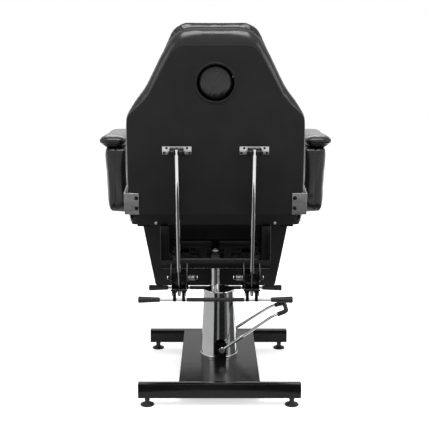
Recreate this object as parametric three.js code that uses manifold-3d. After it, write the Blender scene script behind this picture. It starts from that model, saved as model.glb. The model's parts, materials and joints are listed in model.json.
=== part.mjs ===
// Tattoo chair: a hydraulic column on a flat base carries a swivelling seat, a reclining back,
// a rising leg rest and two armrests that lift off.
// Millimetres. +Z is up, +Y is the way the sitter faces, +X is to the right seen from behind.
// Heights count from the floor, and x = 0 and y = 0 lie on the ram's axis until the last step,
// which moves the whole chair along Y so that its bounding box is centred on the origin.
import * as THREE from 'three';
import { mergeVertices } from 'three/addons/utils/BufferGeometryUtils.js';
import Module from 'manifold-3d';

const wasm = await Module();
wasm.setup();

// Clearances that all pieces share
const restGap = 0.3;
const runGap = 0.25;
const overrun = 3;
// How far welded pieces run into each other
const weld = 1;

// Base: two crossbars of rectangular tube on levelling feet, two rails and a sheet cover
const base = {
  length: 545,
  centreX: 13.5,
  centreY: -10,
  barSpacing: 590,
  barDepth: 30,
  barHeight: 50,
  barBottom: 28,
  wall: 2.5,
  coverWidth: 273,
  coverSkirt: 34,
  sheet: 2.5,
  railSize: 30,
  railSpacing: 124,
  plateSize: 150,
  plateThickness: 8,
  plateTop: 72,
};

const foot = {
  inset: 30,
  padRadius: 23,
  padThickness: 7,
  neckRadius: 10.5,
  waistRadius: 8,
  waistHeight: 16,
  studRadius: 5,
  studTop: 62,
};

// Pump: a cast body round the ram, under a tapered chrome cover with an arched slot each side
const pump = {
  flangeRadius: 46,
  flangeThickness: 12,
  reservoirRadius: 38,
  reservoirTop: 190,
  barrelRadius: 27,
  barrelTop: 300,
  boreBottom: 100,
  glandRadius: 22,
  glandHeight: 11,
  coverFootRadius: 66,
  coverLipRadius: 68.5,
  coverLipHeight: 9,
  coverTopRadius: 54,
  coverTop: 323,
  coverWall: 1.6,
  slotWidth: 43,
  slotTop: 150,
  slotX: 18,
  plungerRadius: 7,
  plungerTravel: 13,
  plungerBoss: 11,
  plungerBossTop: 108,
  boltCircle: 37,
  boltHeadRadius: 7,
  boltHead: 5,
};

const ram = {
  radius: 14,
  bottom: 112,
  shoulderRadius: 24,
  shoulderThickness: 8,
  stubRadius: 9,
  washerRadius: 26,
  washerThickness: 3,
};

// Pedal: two bent arms on one axle, joined by a bow that carries the rubber tread
const pedal = {
  pivotX: 24,
  pivotZ: 115,
  axleRadius: 6,
  axleEnd: 87,
  bossRadius: 11,
  bossLength: 12,
  bossY: 79,
  rodRadius: 5.25,
  bendX: 208,
  bendY: 63,
  bendZ: 238,
  tipX: 256,
  tipY: 54,
  tipZ: 253,
  cornerRadius: 18,
  treadRadius: 8,
  treadGap: 0.8,
  treadStartShare: 0.3,
  bracketY: 48,
  bracketThickness: 6,
  bracketWidth: 34,
  bracketTop: 133,
  cheekRoundShare: 0.7,
  rockerX: 50,
  rockerY: 31,
  rockerZ: 128,
  rockerThickness: 8,
};

// Seat frame: square tube below the seat, raised to it by four posts
const frame = {
  tube: 30,
  wall: 2.5,
  bottom: 433,
  halfWidth: 189.5,
  rearY: -150,
  frontY: 180,
  hubWidth: 62,
};

const seat = {
  rearY: -122,
  frontY: 308,
  bottom: 582,
  boardThickness: 37,
  boardFrontSetback: 12,
  halfWidth: 292,
  cornerRadius: 26,
  edgeHeight: 58,
  edgeInset: 16,
  crown: 22,
  bow: 4,
  ringShares: [[0, 0.25, 1], [0.12, 0.08, 1], [0.45, 0, 1], [0.72, 0.1, 1], [0.9, 0.4, 1], [1, 1, 1]],
};

// Backrest, in a frame at its hinge: y runs forward out of its face and z up along it
const back = {
  hingeY: -165,
  hingeZ: 650,
  recline: THREE.MathUtils.degToRad(10.5),
  rearFace: -70,
  boardThickness: 18,
  frontFace: 29,
  crown: 7,
  panelBottomHalf: 287.5,
  panelShoulderHalf: 284,
  panelShoulderZ: 333,
  panelWaistHalf: 219,
  panelWaistZ: 389,
  panelTopHalf: 126,
  panelTop: 559,
  panelRadius: 24,
  plateLow: 1,
  plateHeight: 74,
  edgeInset: 14,
  bottomHalf: 293,
  shoulderHalf: 295,
  shoulderZ: 322,
  waistHalf: 223.5,
  waistZ: 425,
  topHalf: 131,
  top: 614,
  bottomRadius: 30,
  shoulderRadius: 45,
  waistRadius: 190,
  topRadius: 56,
  holeZ: 440,
  holeRadius: 64.5,
  sleeveRadius: 56.6,
  sleeveRear: -28,
  plugRadius: 56.2,
  plugRear: -62,
  plugFront: 28,
  plugCrown: 6,
  ringShares: [
    [0, 0, 0],
    [0.1, 0, 0.35],
    [0.26, 0, 0.72],
    [0.46, 0, 0.96],
    [0.56, 0.2, 1],
    [0.66, 0, 1],
    [0.86, 0.25, 1],
    [1, 1, 1],
  ],
  plugRingShares: [[0, 2, 1], [0.12, 1, 1], [0.3, 0, 1], [0.85, 0, 1], [1, 1, 1]],
};

// Leg rest, in a frame at its hinge like the backrest's, with z running up along it
const leg = {
  hingeY: 250,
  hingeZ: 640,
  tilt: THREE.MathUtils.degToRad(10),
  rearFace: -36,
  boardThickness: 18,
  frontFace: 52.24,
  crown: 7,
  topZ: -78,
  bottomZ: -386,
  topHalf: 293,
  bottomHalf: 243.5,
  topRadius: 24,
  bottomRadius: 18,
  boardTrim: 7,
  plateLow: -127,
  plateHeight: 61,
  edgeInset: 14,
  ringShares: [[0, 0, 0], [0.14, 0, 0.6], [0.45, 0, 1], [0.7, 0.15, 1], [0.9, 0.4, 1], [1, 1, 1]],
};

// Side hinges of the back and the leg rest
const hinge = {
  earInner: 292.3,
  plateInner: 297,
  thickness: 4,
  plateWidth: 48,
  noseRadius: 15,
  pinRadius: 5,
  headRadius: 9,
  headThickness: 4,
  rearPlate: 3,
  earHeight: 27,
  earInset: 5,
};

// Friction rods and the clamps that hold them, one pair for the back and one for the leg rest
const rod = {
  sideInset: 34.5,
  radius: 6.25,
  pinRadius: 4,
  beyondPin: 13,
  backStandoff: 29,
  legStandoff: 26,
  earSpread: 21,
  earThickness: 3,
  earHalf: 11,
  plateWidth: 100,
  plateHeight: 30,
  plateThickness: 3,
  pinHalf: 26,
  backLength: 543,
  legLength: 359,
};

const clamp = {
  backY: -178,
  backZ: 408,
  legY: 195,
  legZ: 404,
  halfWidth: 25,
  wall: 3,
  rear: -20,
  front: 16,
  top: 13,
  backBottom: -64,
  legBottom: -118,
  webTop: -36,
  blockHalfDepth: 10.5,
  blockHalfHeight: 20,
  trunnionRadius: 6,
  outerEnd: 38,
  innerEnd: 62,
  lugThickness: 4,
  lugRadius: 13,
  nutRadius: 9,
  nutThickness: 5.5,
  springWire: 1.1,
  springRadius: 8.8,
};

const springTurns = 5;

const lever = {
  barRadius: 5,
  backHalf: 266,
  legHalf: 257,
  gripLength: 75,
  gripInnerRadius: 8,
  gripOuterRadius: 11.5,
  gripCap: 4,
  sleeveHalf: 99,
  sleeveRadius: 7,
  pinRadius: 3,
  pinEnd: 4,
  armThickness: 11,
  armHalf: 7,
  armGap: 1,
  reach: 34,
  backY: -20,
  backPinY: -15,
  backZ: -76,
  legZ: -130,
};

const arm = {
  inner: 311,
  thickness: 57,
  belly: 8,
  bottom: 611,
  top: 841,
  rearY: -72,
  frontY: 272,
  cornerRadius: 34,
  edgeRadius: 14,
  edgeInset: 8.5,
  ringShares: [[0, 0.8, 1], [0.08, 0.2, 1], [0.5, 0, 1], [0.88, 0.2, 1], [1, 1, 1]],
  padOverhang: 2,
  padWidth: 95,
  padThickness: 42,
  padCrown: 12,
  padInset: 14,
  padRingShares: [[0, 0.9, 1], [0.2, 0.4, 1], [0.5, 0, 1], [0.78, 0.25, 1], [1, 1, 1]],
  padRearY: -78,
  padFrontY: 278,
  padRadius: 30,
  hookInner: 300,
  hookWidth: 44,
  hookThickness: 4,
  hookBottom: 600,
  hookRearY: 10,
  hookFrontY: 136,
  pocketBottom: 586,
  pocketTop: 634,
  pocketWall: 2.5,
};

// Finishes
const vinyl = new THREE.MeshStandardMaterial({ color: 0x1b1b1c, roughness: 0.5, metalness: 0 });
const paint = new THREE.MeshStandardMaterial({ color: 0x151516, roughness: 0.45, metalness: 0.1 });
const chrome = new THREE.MeshStandardMaterial({ color: 0xd8d9db, roughness: 0.12, metalness: 1 });
const zinc = new THREE.MeshStandardMaterial({ color: 0xb9bab8, roughness: 0.35, metalness: 1 });
const iron = new THREE.MeshStandardMaterial({ color: 0x3a3b3d, roughness: 0.6, metalness: 0.6 });
const rubber = new THREE.MeshStandardMaterial({ color: 0x141414, roughness: 0.8, metalness: 0 });

const X = new THREE.Vector3(1, 0, 0);
const Y = new THREE.Vector3(0, 1, 0);
const Z = new THREE.Vector3(0, 0, 1);

// Keeps positions only, joins equal vertices and drops triangles that have collapsed.
function tidy(geometry) {
  const bare = new THREE.BufferGeometry();
  bare.setAttribute('position', geometry.getAttribute('position'));
  bare.setIndex(geometry.getIndex());
  const welded = mergeVertices(bare);
  const index = welded.getIndex().array;
  const kept = [];
  for (let i = 0; i < index.length; i += 3) {
    const [a, b, c] = index.slice(i, i + 3);
    if (a !== b && b !== c && c !== a) kept.push(a, b, c);
  }
  welded.setIndex(kept);
  return welded;
}

function toSolid(geometry) {
  const clean = tidy(geometry);
  return new wasm.Manifold(new wasm.Mesh({
    numProp: 3,
    vertProperties: new Float32Array(clean.getAttribute('position').array),
    triVerts: new Uint32Array(clean.getIndex().array),
  }));
}

function fromSolid(solid) {
  const mesh = solid.getMesh();
  const geometry = new THREE.BufferGeometry();
  geometry.setAttribute('position', new THREE.BufferAttribute(mesh.vertProperties, 3));
  geometry.setIndex(new THREE.BufferAttribute(mesh.triVerts, 1));
  return geometry;
}

function join(...pieces) {
  return fromSolid(pieces.map(toSolid).reduce((whole, piece) => whole.add(piece)));
}

function cut(body, ...tools) {
  return fromSolid(tools.map(toSolid).reduce((left, tool) => left.subtract(tool), toSolid(body)));
}

function shifted(geometry, x, y, z) {
  return geometry.clone().translate(x, y, z);
}

function mirrored(geometry) {
  const other = tidy(geometry).scale(-1, 1, 1);
  const index = other.getIndex().array;
  const turned = [];
  for (let i = 0; i < index.length; i += 3) turned.push(index[i], index[i + 2], index[i + 1]);
  other.setIndex(turned);
  return other;
}

function mirroredY(geometry) {
  return mirrored(geometry).rotateZ(Math.PI);
}

function block(xs, ys, zs) {
  const box = new THREE.BoxGeometry(xs[1] - xs[0], ys[1] - ys[0], zs[1] - zs[0]);
  return box.translate((xs[0] + xs[1]) / 2, (ys[0] + ys[1]) / 2, (zs[0] + zs[1]) / 2);
}

// Moves a form that was drawn in a plane and raised along Z onto another axis. Along X the
// drawing's coordinates are y and z, and along Y they are -x and z.
function onAxis(geometry, axis) {
  const turn = new THREE.Matrix4();
  if (axis === 'x') turn.makeBasis(Y, Z, X);
  if (axis === 'y') turn.makeBasis(X.clone().negate(), Z, Y);
  return geometry.applyMatrix4(turn);
}

function prism(axis, outline, low, high, holes = []) {
  const shape = new THREE.Shape(outline);
  for (const hole of holes) shape.holes.push(new THREE.Path(hole));
  const raised = new THREE.ExtrudeGeometry(shape, { depth: high - low, bevelEnabled: false });
  return onAxis(raised.translate(0, 0, low), axis);
}

function circle(radius, centre = [0, 0], sides = 12) {
  return Array.from({ length: sides }, (_, i) => {
    const angle = (2 * Math.PI * i) / sides;
    const x = centre[0] + radius * Math.cos(angle);
    const y = centre[1] + radius * Math.sin(angle);
    return new THREE.Vector2(x, y);
  });
}

function round(axis, radius, low, high, centre = [0, 0], sides = 12) {
  return prism(axis, circle(radius, centre, sides), low, high);
}

function ring(axis, radius, bore, low, high, centre = [0, 0], sides = 12) {
  return prism(axis, circle(radius, centre, sides), low, high, [circle(bore, centre, sides)]);
}

function turned(profile, sides) {
  const points = profile.map(([r, z]) => new THREE.Vector2(r, z));
  const lathe = new THREE.LatheGeometry(points, sides);
  return lathe.rotateX(Math.PI / 2);
}

// A closed outline with rounded corners, anticlockwise. A corner is [x, y, radius] and may
// point inwards. Each straight side has the same number of steps and is drawn in by bow at
// its middle.
function outline(corners, sideSteps = 1, cornerSteps = 4, bow = 0) {
  const arcs = corners.map(([x, y, radius], i) => {
    const here = new THREE.Vector2(x, y);
    const last = corners[(i + corners.length - 1) % corners.length];
    const next = corners[(i + 1) % corners.length];
    const toLast = new THREE.Vector2(last[0], last[1]).sub(here).normalize();
    const toNext = new THREE.Vector2(next[0], next[1]).sub(here).normalize();
    const half = Math.acos(toLast.dot(toNext)) / 2;
    const hand = Math.sign(toNext.cross(toLast));
    const centre = toLast.clone().add(toNext).normalize().multiplyScalar(radius / Math.sin(half));
    centre.add(here);
    const start = toLast.multiplyScalar(radius / Math.tan(half)).add(here).sub(centre).angle();
    const sweep = hand * (Math.PI - 2 * half);
    return Array.from({ length: cornerSteps + 1 }, (_, k) => {
      const angle = start + (sweep * k) / cornerSteps;
      const x = centre.x + radius * Math.cos(angle);
      const y = centre.y + radius * Math.sin(angle);
      return new THREE.Vector2(x, y);
    });
  });
  const points = [];
  arcs.forEach((arc, i) => {
    points.push(...arc);
    const from = arc[arc.length - 1];
    const to = arcs[(i + 1) % arcs.length][0];
    const along = to.clone().sub(from).normalize();
    const inward = new THREE.Vector2(-along.y, along.x);
    for (let k = 1; k < sideSteps; k += 1) {
      const share = k / sideSteps;
      const point = from.clone().lerp(to, share);
      points.push(point.addScaledVector(inward, bow * Math.sin(Math.PI * share)));
    }
  });
  return points;
}

function rectangle(xs, ys, radius, sideSteps, cornerSteps, bow) {
  const corners = [[xs[0], ys[0]], [xs[1], ys[0]], [xs[1], ys[1]], [xs[0], ys[1]]];
  return outline(corners.map(([x, y]) => [x, y, radius]), sideSteps, cornerSteps, bow);
}

// A flat strip with round ends, from one centre to another
function strip(from, to, radius, steps = 4) {
  const start = Math.atan2(to[1] - from[1], to[0] - from[0]);
  const half = (centre, first) => Array.from({ length: steps + 1 }, (_, k) => {
    const angle = first + (Math.PI * k) / steps;
    const x = centre[0] + radius * Math.cos(angle);
    const y = centre[1] + radius * Math.sin(angle);
    return new THREE.Vector2(x, y);
  });
  return [...half(to, start - Math.PI / 2), ...half(from, start + Math.PI / 2)];
}

// A cushion: rings from its back to its front, each with a depth, a blend share between the
// back and the front outline, an inset and a scale share towards the middle.
function cushion(axis, backOutline, frontOutline, rings) {
  const count = frontOutline.length;
  const middle = new THREE.Vector2();
  for (const point of frontOutline) middle.addScaledVector(point, 1 / count);
  const positions = [];
  for (const { depth, blendShare = 1, inset = 0, scaleShare = 1 } of rings) {
    const mixed = backOutline.map((point, i) => point.clone().lerp(frontOutline[i], blendShare));
    mixed.forEach((point, i) => {
      const along = mixed[(i + 1) % count].clone().sub(mixed[(i + count - 1) % count]).normalize();
      const drawn = new THREE.Vector2(-along.y, along.x).multiplyScalar(inset).add(point);
      drawn.sub(middle).multiplyScalar(scaleShare).add(middle);
      positions.push(drawn.x, drawn.y, depth);
    });
  }
  const lastRing = rings.length - 1;
  positions.push(middle.x, middle.y, rings[0].depth, middle.x, middle.y, rings[lastRing].depth);
  const backMiddle = rings.length * count;
  const faces = [];
  for (let i = 0; i < count; i += 1) {
    const next = (i + 1) % count;
    faces.push(backMiddle, next, i);
    faces.push(backMiddle + 1, lastRing * count + i, lastRing * count + next);
    for (let k = 0; k < lastRing; k += 1) {
      const here = k * count;
      const above = here + count;
      faces.push(here + i, here + next, above + i, here + next, above + next, above + i);
    }
  }
  const geometry = new THREE.BufferGeometry();
  geometry.setAttribute('position', new THREE.Float32BufferAttribute(positions, 3));
  geometry.setIndex(faces);
  return onAxis(geometry, axis);
}

// The sides of a cushion from a table of shares of its rise, of its inset and of the blend
// between its back and its front outline
function sideRings(low, rise, inset, ringShares) {
  return ringShares.map(([riseShare, insetShare, blendShare]) => (
    { depth: low + riseShare * rise, inset: insetShare * inset, blendShare }
  ));
}

// The crown of a cushion: rings that shrink to the middle as they rise above the edge. The
// edge ring's inset is kept and the scale is on top of it.
function crownRings(edge, crown, inset, steps = 4) {
  return Array.from({ length: steps }, (_, i) => {
    const scaleShare = 1 - (i + 1) / (steps + 1);
    return { depth: edge + crown * (1 - scaleShare ** 2), inset, scaleShare };
  });
}

// A round bar along a path of points, hollow if it has a bore
function sweep(path, radius, bore = 0, sides = 8) {
  const radii = bore > 0 ? [radius, bore] : [radius];
  const last = path.length - 1;
  const step = sides * radii.length;
  const side = path[1].clone().sub(path[0]).cross(Z).normalize();
  const positions = [];
  path.forEach((point, i) => {
    const along = path[Math.min(i + 1, last)].clone().sub(path[Math.max(i - 1, 0)]).normalize();
    side.addScaledVector(along, -side.dot(along)).normalize();
    const up = along.cross(side);
    for (let k = 0; k < step; k += 1) {
      const r = radii[Math.floor(k / sides)];
      const turn = (2 * Math.PI * k) / sides;
      const out = side.clone().multiplyScalar(Math.cos(turn)).addScaledVector(up, Math.sin(turn));
      positions.push(...out.multiplyScalar(r).add(point).toArray());
    }
  });
  const middle = positions.length / 3;
  if (bore === 0) positions.push(...path[0].toArray(), ...path[last].toArray());
  const faces = [];
  const end = last * step;
  for (let k = 0; k < sides; k += 1) {
    const next = (k + 1) % sides;
    for (let here = 0; here < end; here += step) {
      const above = here + step;
      faces.push(here + k, here + next, above + k, here + next, above + next, above + k);
      if (bore > 0) {
        const [a, b] = [k + sides, next + sides];
        faces.push(here + a, above + a, here + b, here + b, above + a, above + b);
      }
    }
    if (bore > 0) {
      const [a, b] = [k + sides, next + sides];
      faces.push(k, a, next, next, a, b, end + k, end + next, end + a, end + next, end + b, end + a);
    } else {
      faces.push(middle, next, k, middle + 1, end + k, end + next);
    }
  }
  const geometry = new THREE.BufferGeometry();
  geometry.setAttribute('position', new THREE.Float32BufferAttribute(positions, 3));
  geometry.setIndex(faces);
  return geometry;
}

// Straight runs from point to point with rounded corners
function roundedPath(points, bendRadius, steps = 5) {
  const path = [points[0]];
  for (let i = 1; i < points.length - 1; i += 1) {
    const corner = points[i];
    const before = corner.clone().add(points[i - 1].clone().sub(corner).setLength(bendRadius));
    const after = corner.clone().add(points[i + 1].clone().sub(corner).setLength(bendRadius));
    path.push(...new THREE.QuadraticBezierCurve3(before, corner, after).getPoints(steps));
  }
  return [...path, points[points.length - 1]];
}

// A coil spring along X as one unbroken tube
function spring(low, high, radius, wire, turns) {
  const steps = turns * 8;
  const rise = (high - low - 2 * wire) / steps;
  const path = Array.from({ length: steps + 1 }, (_, i) => {
    const angle = (Math.PI * i) / 4;
    const x = low + wire + rise * i;
    return new THREE.Vector3(x, radius * Math.cos(angle), radius * Math.sin(angle));
  });
  const gaps = path.flatMap((point, i) => (
    path.slice(i + 6).map((other) => point.distanceTo(other) - 2 * wire)
  ));
  console.log(`least gap of a spring to itself: ${Math.min(...gaps).toFixed(2)} mm`);
  return sweep(path, wire, 0, 5);
}

const chair = new THREE.Group();

function place(group, name, geometry, material) {
  const mesh = new THREE.Mesh(tidy(geometry), material);
  mesh.name = name;
  group.add(mesh);
  return mesh;
}

// One mesh on each side of the middle plane, drawn for the right
function placePair(group, name, geometry, material) {
  place(group, `${name}_right`, geometry, material);
  place(group, `${name}_left`, mirrored(geometry), material);
}

function turnedGroup(y, z, angle) {
  const group = new THREE.Group();
  group.position.set(0, y, z);
  group.rotation.x = angle;
  chair.add(group);
  return group;
}

// Places worked out from the sizes
const barTop = base.barBottom + base.barHeight;
const barYs = [base.centreY - base.barSpacing / 2, base.centreY + base.barSpacing / 2];
const innerFaces = [barYs[0] + base.barDepth / 2, barYs[1] - base.barDepth / 2];
const frameTop = frame.bottom + frame.tube;
const frameRearMid = frame.rearY + frame.tube / 2;
const frameFrontMid = frame.frontY + frame.tube / 2;
const boardTop = seat.bottom + seat.boardThickness;
const rodX = frame.halfWidth - frame.tube - rod.sideInset;

function tubeOutline(width, height, wall) {
  const outer = rectangle([-width / 2, width / 2], [-height / 2, height / 2], wall, 1, 2);
  const halfs = [width / 2 - wall, height / 2 - wall];
  const inner = rectangle([-halfs[0], halfs[0]], [-halfs[1], halfs[1]], wall / 2, 1, 2);
  return [outer, inner];
}

function squareTube(axis, low, high, centre) {
  const [outer, inner] = tubeOutline(frame.tube, frame.tube, frame.wall);
  const tube = prism(axis, outer, low, high, [inner]);
  const places = { x: [0, ...centre], y: [centre[0], 0, centre[1]], z: [...centre, 0] };
  return tube.translate(...places[axis]);
}

// Crossbars with welded ends and a clear hole in the floor of each end for the foot's stud
const barHalf = base.length / 2;
const footX = barHalf - foot.inset;

function crossbar(y) {
  const [outer, inner] = tubeOutline(base.barDepth, base.barHeight, base.wall);
  const hollow = prism('x', inner, base.wall - barHalf, barHalf - base.wall);
  const tube = cut(prism('x', outer, -barHalf, barHalf), hollow);
  tube.translate(0, 0, base.barBottom + base.barHeight / 2);
  const reach = base.barBottom + base.wall * 2;
  const hole = round('z', foot.studRadius + runGap, base.barBottom - overrun, reach);
  const drilled = cut(tube, shifted(hole, -footX, 0, 0), shifted(hole, footX, 0, 0));
  return drilled.translate(base.centreX, y, 0);
}

place(chair, 'base_crossbar_rear', crossbar(barYs[0]), paint);
place(chair, 'base_crossbar_front', crossbar(barYs[1]), paint);

// Subframe: two rails, the pump's mount plate and the pedal's two cheeks, welded together
function rail() {
  const [outer, inner] = tubeOutline(base.railSize, base.railSize, base.wall);
  const tube = prism('y', outer, innerFaces[0], innerFaces[1], [inner]);
  const top = base.plateTop - base.plateThickness + weld;
  return tube.translate(base.railSpacing / 2, 0, top - base.railSize / 2);
}

function pedalCheek() {
  const half = pedal.bracketWidth / 2;
  const sides = outline([
    [-pedal.pivotX - half, base.plateTop - weld, weld],
    [-pedal.pivotX + half, base.plateTop - weld, weld],
    [-pedal.pivotX + half, pedal.bracketTop, pedal.cheekRoundShare * half],
    [-pedal.pivotX - half, pedal.bracketTop, pedal.cheekRoundShare * half],
  ]);
  const hole = circle(pedal.axleRadius + runGap, [-pedal.pivotX, pedal.pivotZ]);
  return prism('y', sides, pedal.bracketY, pedal.bracketY + pedal.bracketThickness, [hole]);
}

function subframe() {
  const half = base.plateSize / 2;
  const plate = block([-half, half], [-half, half], [base.plateTop - base.plateThickness, base.plateTop]);
  const welded = join(rail(), mirrored(rail()), plate).translate(base.centreX, 0, 0);
  return join(welded, pedalCheek(), mirroredY(pedalCheek()));
}

place(chair, 'base_subframe', subframe(), paint);

// Sheet cover between the crossbars, open below and round the pump
function baseCover() {
  const half = base.coverWidth / 2;
  const depth = base.coverSkirt;
  const outer = block([-half, half], innerFaces, [barTop - depth, barTop]);
  const inner = block(
    [-half + base.sheet, half - base.sheet],
    [innerFaces[0] - overrun, innerFaces[1] + overrun],
    [barTop - depth - overrun, barTop - base.sheet],
  );
  const hole = round('z', pump.coverFootRadius - overrun, barTop - depth, barTop + overrun);
  return shifted(cut(outer, inner, hole), base.centreX, 0, 0);
}

place(chair, 'base_cover', baseCover(), paint);

// Levelling feet: each pad and stud turns in the floor of the crossbar
function levellingFoot() {
  const neckTop = base.barBottom - restGap;
  return turned([
    [0, 0],
    [foot.padRadius, 0],
    [foot.padRadius, foot.padThickness / 2],
    [foot.padRadius - foot.padThickness / 2, foot.padThickness],
    [foot.neckRadius, foot.padThickness],
    [foot.waistRadius, foot.waistHeight],
    [foot.neckRadius, neckTop - restGap],
    [foot.neckRadius, neckTop],
    [foot.studRadius, neckTop],
    [foot.studRadius, foot.studTop],
    [0, foot.studTop],
  ], 12);
}

const footPlaces = {
  levelling_foot_rear_left: [-footX, barYs[0]],
  levelling_foot_rear_right: [footX, barYs[0]],
  levelling_foot_front_left: [-footX, barYs[1]],
  levelling_foot_front_right: [footX, barYs[1]],
};
for (const [name, [x, y]] of Object.entries(footPlaces)) {
  place(chair, name, shifted(levellingFoot(), base.centreX + x, y, 0), rubber);
}

// Pump body, its gland, its bolts and the tapered cover
function pumpBody() {
  const flangeTop = base.plateTop + pump.flangeThickness;
  const casting = turned([
    [0, base.plateTop],
    [pump.flangeRadius, base.plateTop],
    [pump.flangeRadius, flangeTop],
    [pump.barrelRadius, flangeTop],
    [pump.barrelRadius, pump.slotTop],
    [pump.reservoirRadius, pump.slotTop],
    [pump.reservoirRadius, pump.reservoirTop],
    [pump.barrelRadius, pump.reservoirTop],
    [pump.barrelRadius, pump.barrelTop],
    [ram.radius + runGap, pump.barrelTop],
    [ram.radius + runGap, pump.boreBottom],
    [0, pump.boreBottom],
  ], 24);
  const centre = [pedal.rockerX, 0];
  const boss = round('z', pump.plungerBoss, base.plateTop, pump.plungerBossTop, centre);
  const cavity = pump.plungerRadius + runGap;
  const bore = round('z', cavity, flangeTop, pump.plungerBossTop + overrun, centre);
  const bolt = round('z', pump.boltHeadRadius, base.plateTop, flangeTop + pump.boltHead, [0, 0], 6);
  const bolts = [1, 3, 5, 7].map((k) => {
    const angle = (k * Math.PI) / 4;
    const reach = pump.boltCircle;
    return shifted(bolt, reach * Math.cos(angle), reach * Math.sin(angle), 0);
  });
  return cut(join(casting, boss, ...bolts), bore);
}

place(chair, 'pump_body', pumpBody(), iron);

place(chair, 'pump_gland', ring(
  'z',
  pump.glandRadius,
  ram.radius + runGap,
  pump.barrelTop,
  pump.barrelTop + pump.glandHeight,
  [0, 0],
  24,
), zinc);

// The arched slots let the pedal's bracket and axle through, at the back and at the front
function pumpCover() {
  const wall = pump.coverWall;
  const shell = turned([
    [pump.coverLipRadius, barTop],
    [pump.coverLipRadius, barTop + pump.coverLipHeight],
    [pump.coverFootRadius, barTop + pump.coverLipHeight],
    [pump.coverTopRadius, pump.coverTop],
    [pump.coverTopRadius - wall, pump.coverTop],
    [pump.coverFootRadius - wall, barTop + pump.coverLipHeight],
    [pump.coverFootRadius - wall, barTop],
    [pump.coverLipRadius, barTop],
  ], 36).translate(base.centreX, 0, 0);
  const half = pump.slotWidth / 2;
  const archZ = pump.slotTop - half;
  const reach = pump.coverLipRadius + overrun;
  const arch = round('y', half, -reach, reach, [-pump.slotX, archZ], 24);
  const low = barTop - overrun;
  const door = block([pump.slotX - half, pump.slotX + half], [-reach, reach], [low, archZ]);
  return cut(shell, join(arch, door));
}

place(chair, 'pump_cover', pumpCover(), chrome);

// Pedal shaft: a stub in each cheek, joined by a rocker that passes in front of the barrel
function pedalShaft() {
  const centre = [-pedal.pivotX, pedal.pivotZ];
  const axle = round('y', pedal.axleRadius, pedal.rockerY, pedal.axleEnd, centre);
  const arm = prism('y', outline([
    [-pedal.rockerX - pedal.axleRadius, pedal.rockerZ - pedal.axleRadius, pedal.axleRadius / 2],
    [-pedal.pivotX + pedal.axleRadius, pedal.pivotZ - pedal.axleRadius, pedal.axleRadius / 2],
    [-pedal.pivotX + pedal.axleRadius, pedal.pivotZ + pedal.axleRadius, pedal.axleRadius / 2],
    [-pedal.rockerX - pedal.axleRadius, pedal.rockerZ + pedal.axleRadius, pedal.axleRadius / 2],
  ]), pedal.rockerY, pedal.rockerY + pedal.rockerThickness);
  const radius = pedal.axleRadius - restGap;
  const end = pedal.rockerY + pedal.rockerThickness / 2;
  const crossbar = round('y', radius, -end, end, [-pedal.rockerX, pedal.rockerZ]);
  const side = join(axle, arm);
  return join(side, mirroredY(side), crossbar);
}

place(chair, 'pedal_shaft', pedalShaft(), zinc);

const plungerTop = pedal.rockerZ - pedal.axleRadius - restGap;
const plungerBottom = base.plateTop + pump.flangeThickness + pump.plungerTravel;
place(chair, 'pump_plunger', round(
  'z',
  pump.plungerRadius,
  plungerBottom,
  plungerTop,
  [pedal.rockerX, 0],
), zinc);

// Pedal: one bent rod with a boss at each end, and a rubber tread round its bow
function pedalPoints(first) {
  const bend = new THREE.Vector3(pedal.bendX, pedal.bendY, pedal.bendZ);
  const tip = new THREE.Vector3(pedal.tipX, pedal.tipY, pedal.tipZ);
  const flip = (point) => point.clone().multiply(new THREE.Vector3(1, -1, 1));
  const half = first ? [first, bend, tip] : [bend.lerp(tip, pedal.treadStartShare), tip];
  return [...half.map(flip), ...half.reverse()];
}

function pedalLoop() {
  const end = new THREE.Vector3(pedal.pivotX, pedal.bossY, pedal.pivotZ);
  const bar = sweep(roundedPath(pedalPoints(end), pedal.cornerRadius), pedal.rodRadius);
  const centre = [-pedal.pivotX, pedal.pivotZ];
  const half = pedal.bossLength / 2;
  const boss = round('y', pedal.bossRadius, pedal.bossY - half, pedal.bossY + half, centre);
  const span = 2 * pedal.axleEnd;
  const bore = round('y', pedal.axleRadius + runGap, -span, span, centre);
  return cut(join(bar, boss, mirroredY(boss)), bore);
}

place(chair, 'pedal_loop', pedalLoop(), chrome);
place(chair, 'pedal_tread', sweep(
  roundedPath(pedalPoints(), pedal.cornerRadius),
  pedal.treadRadius,
  pedal.rodRadius + pedal.treadGap,
), rubber);

// Ram: a shoulder carries the seat on a washer and a stub centres it
const washerTop = frame.bottom;
const shoulderTop = washerTop - ram.washerThickness;
place(chair, 'ram', turned([
  [0, ram.bottom],
  [ram.radius, ram.bottom],
  [ram.radius, shoulderTop - ram.shoulderThickness],
  [ram.shoulderRadius, shoulderTop - ram.shoulderThickness],
  [ram.shoulderRadius, shoulderTop],
  [ram.stubRadius, shoulderTop],
  [ram.stubRadius, frameTop - frame.wall],
  [0, frameTop - frame.wall],
], 24), chrome);

place(chair, 'swivel_washer', ring(
  'z',
  ram.washerRadius,
  ram.stubRadius + runGap,
  shoulderTop,
  washerTop,
  [0, 0],
  24,
), zinc);

// Seat frame: two crosses, each with two posts and the lugs of its clamps, joined by a side
// on each hand and by a middle bar whose hub takes the ram
const sideX = frame.halfWidth - frame.tube / 2;
const tubeZ = frame.bottom + frame.tube / 2;
const innerYs = [frame.rearY + frame.tube, frame.frontY];
const lugInner = rodX - clamp.halfWidth - 2 * restGap;
const lugOuter = rodX + clamp.halfWidth + 2 * restGap;

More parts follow.
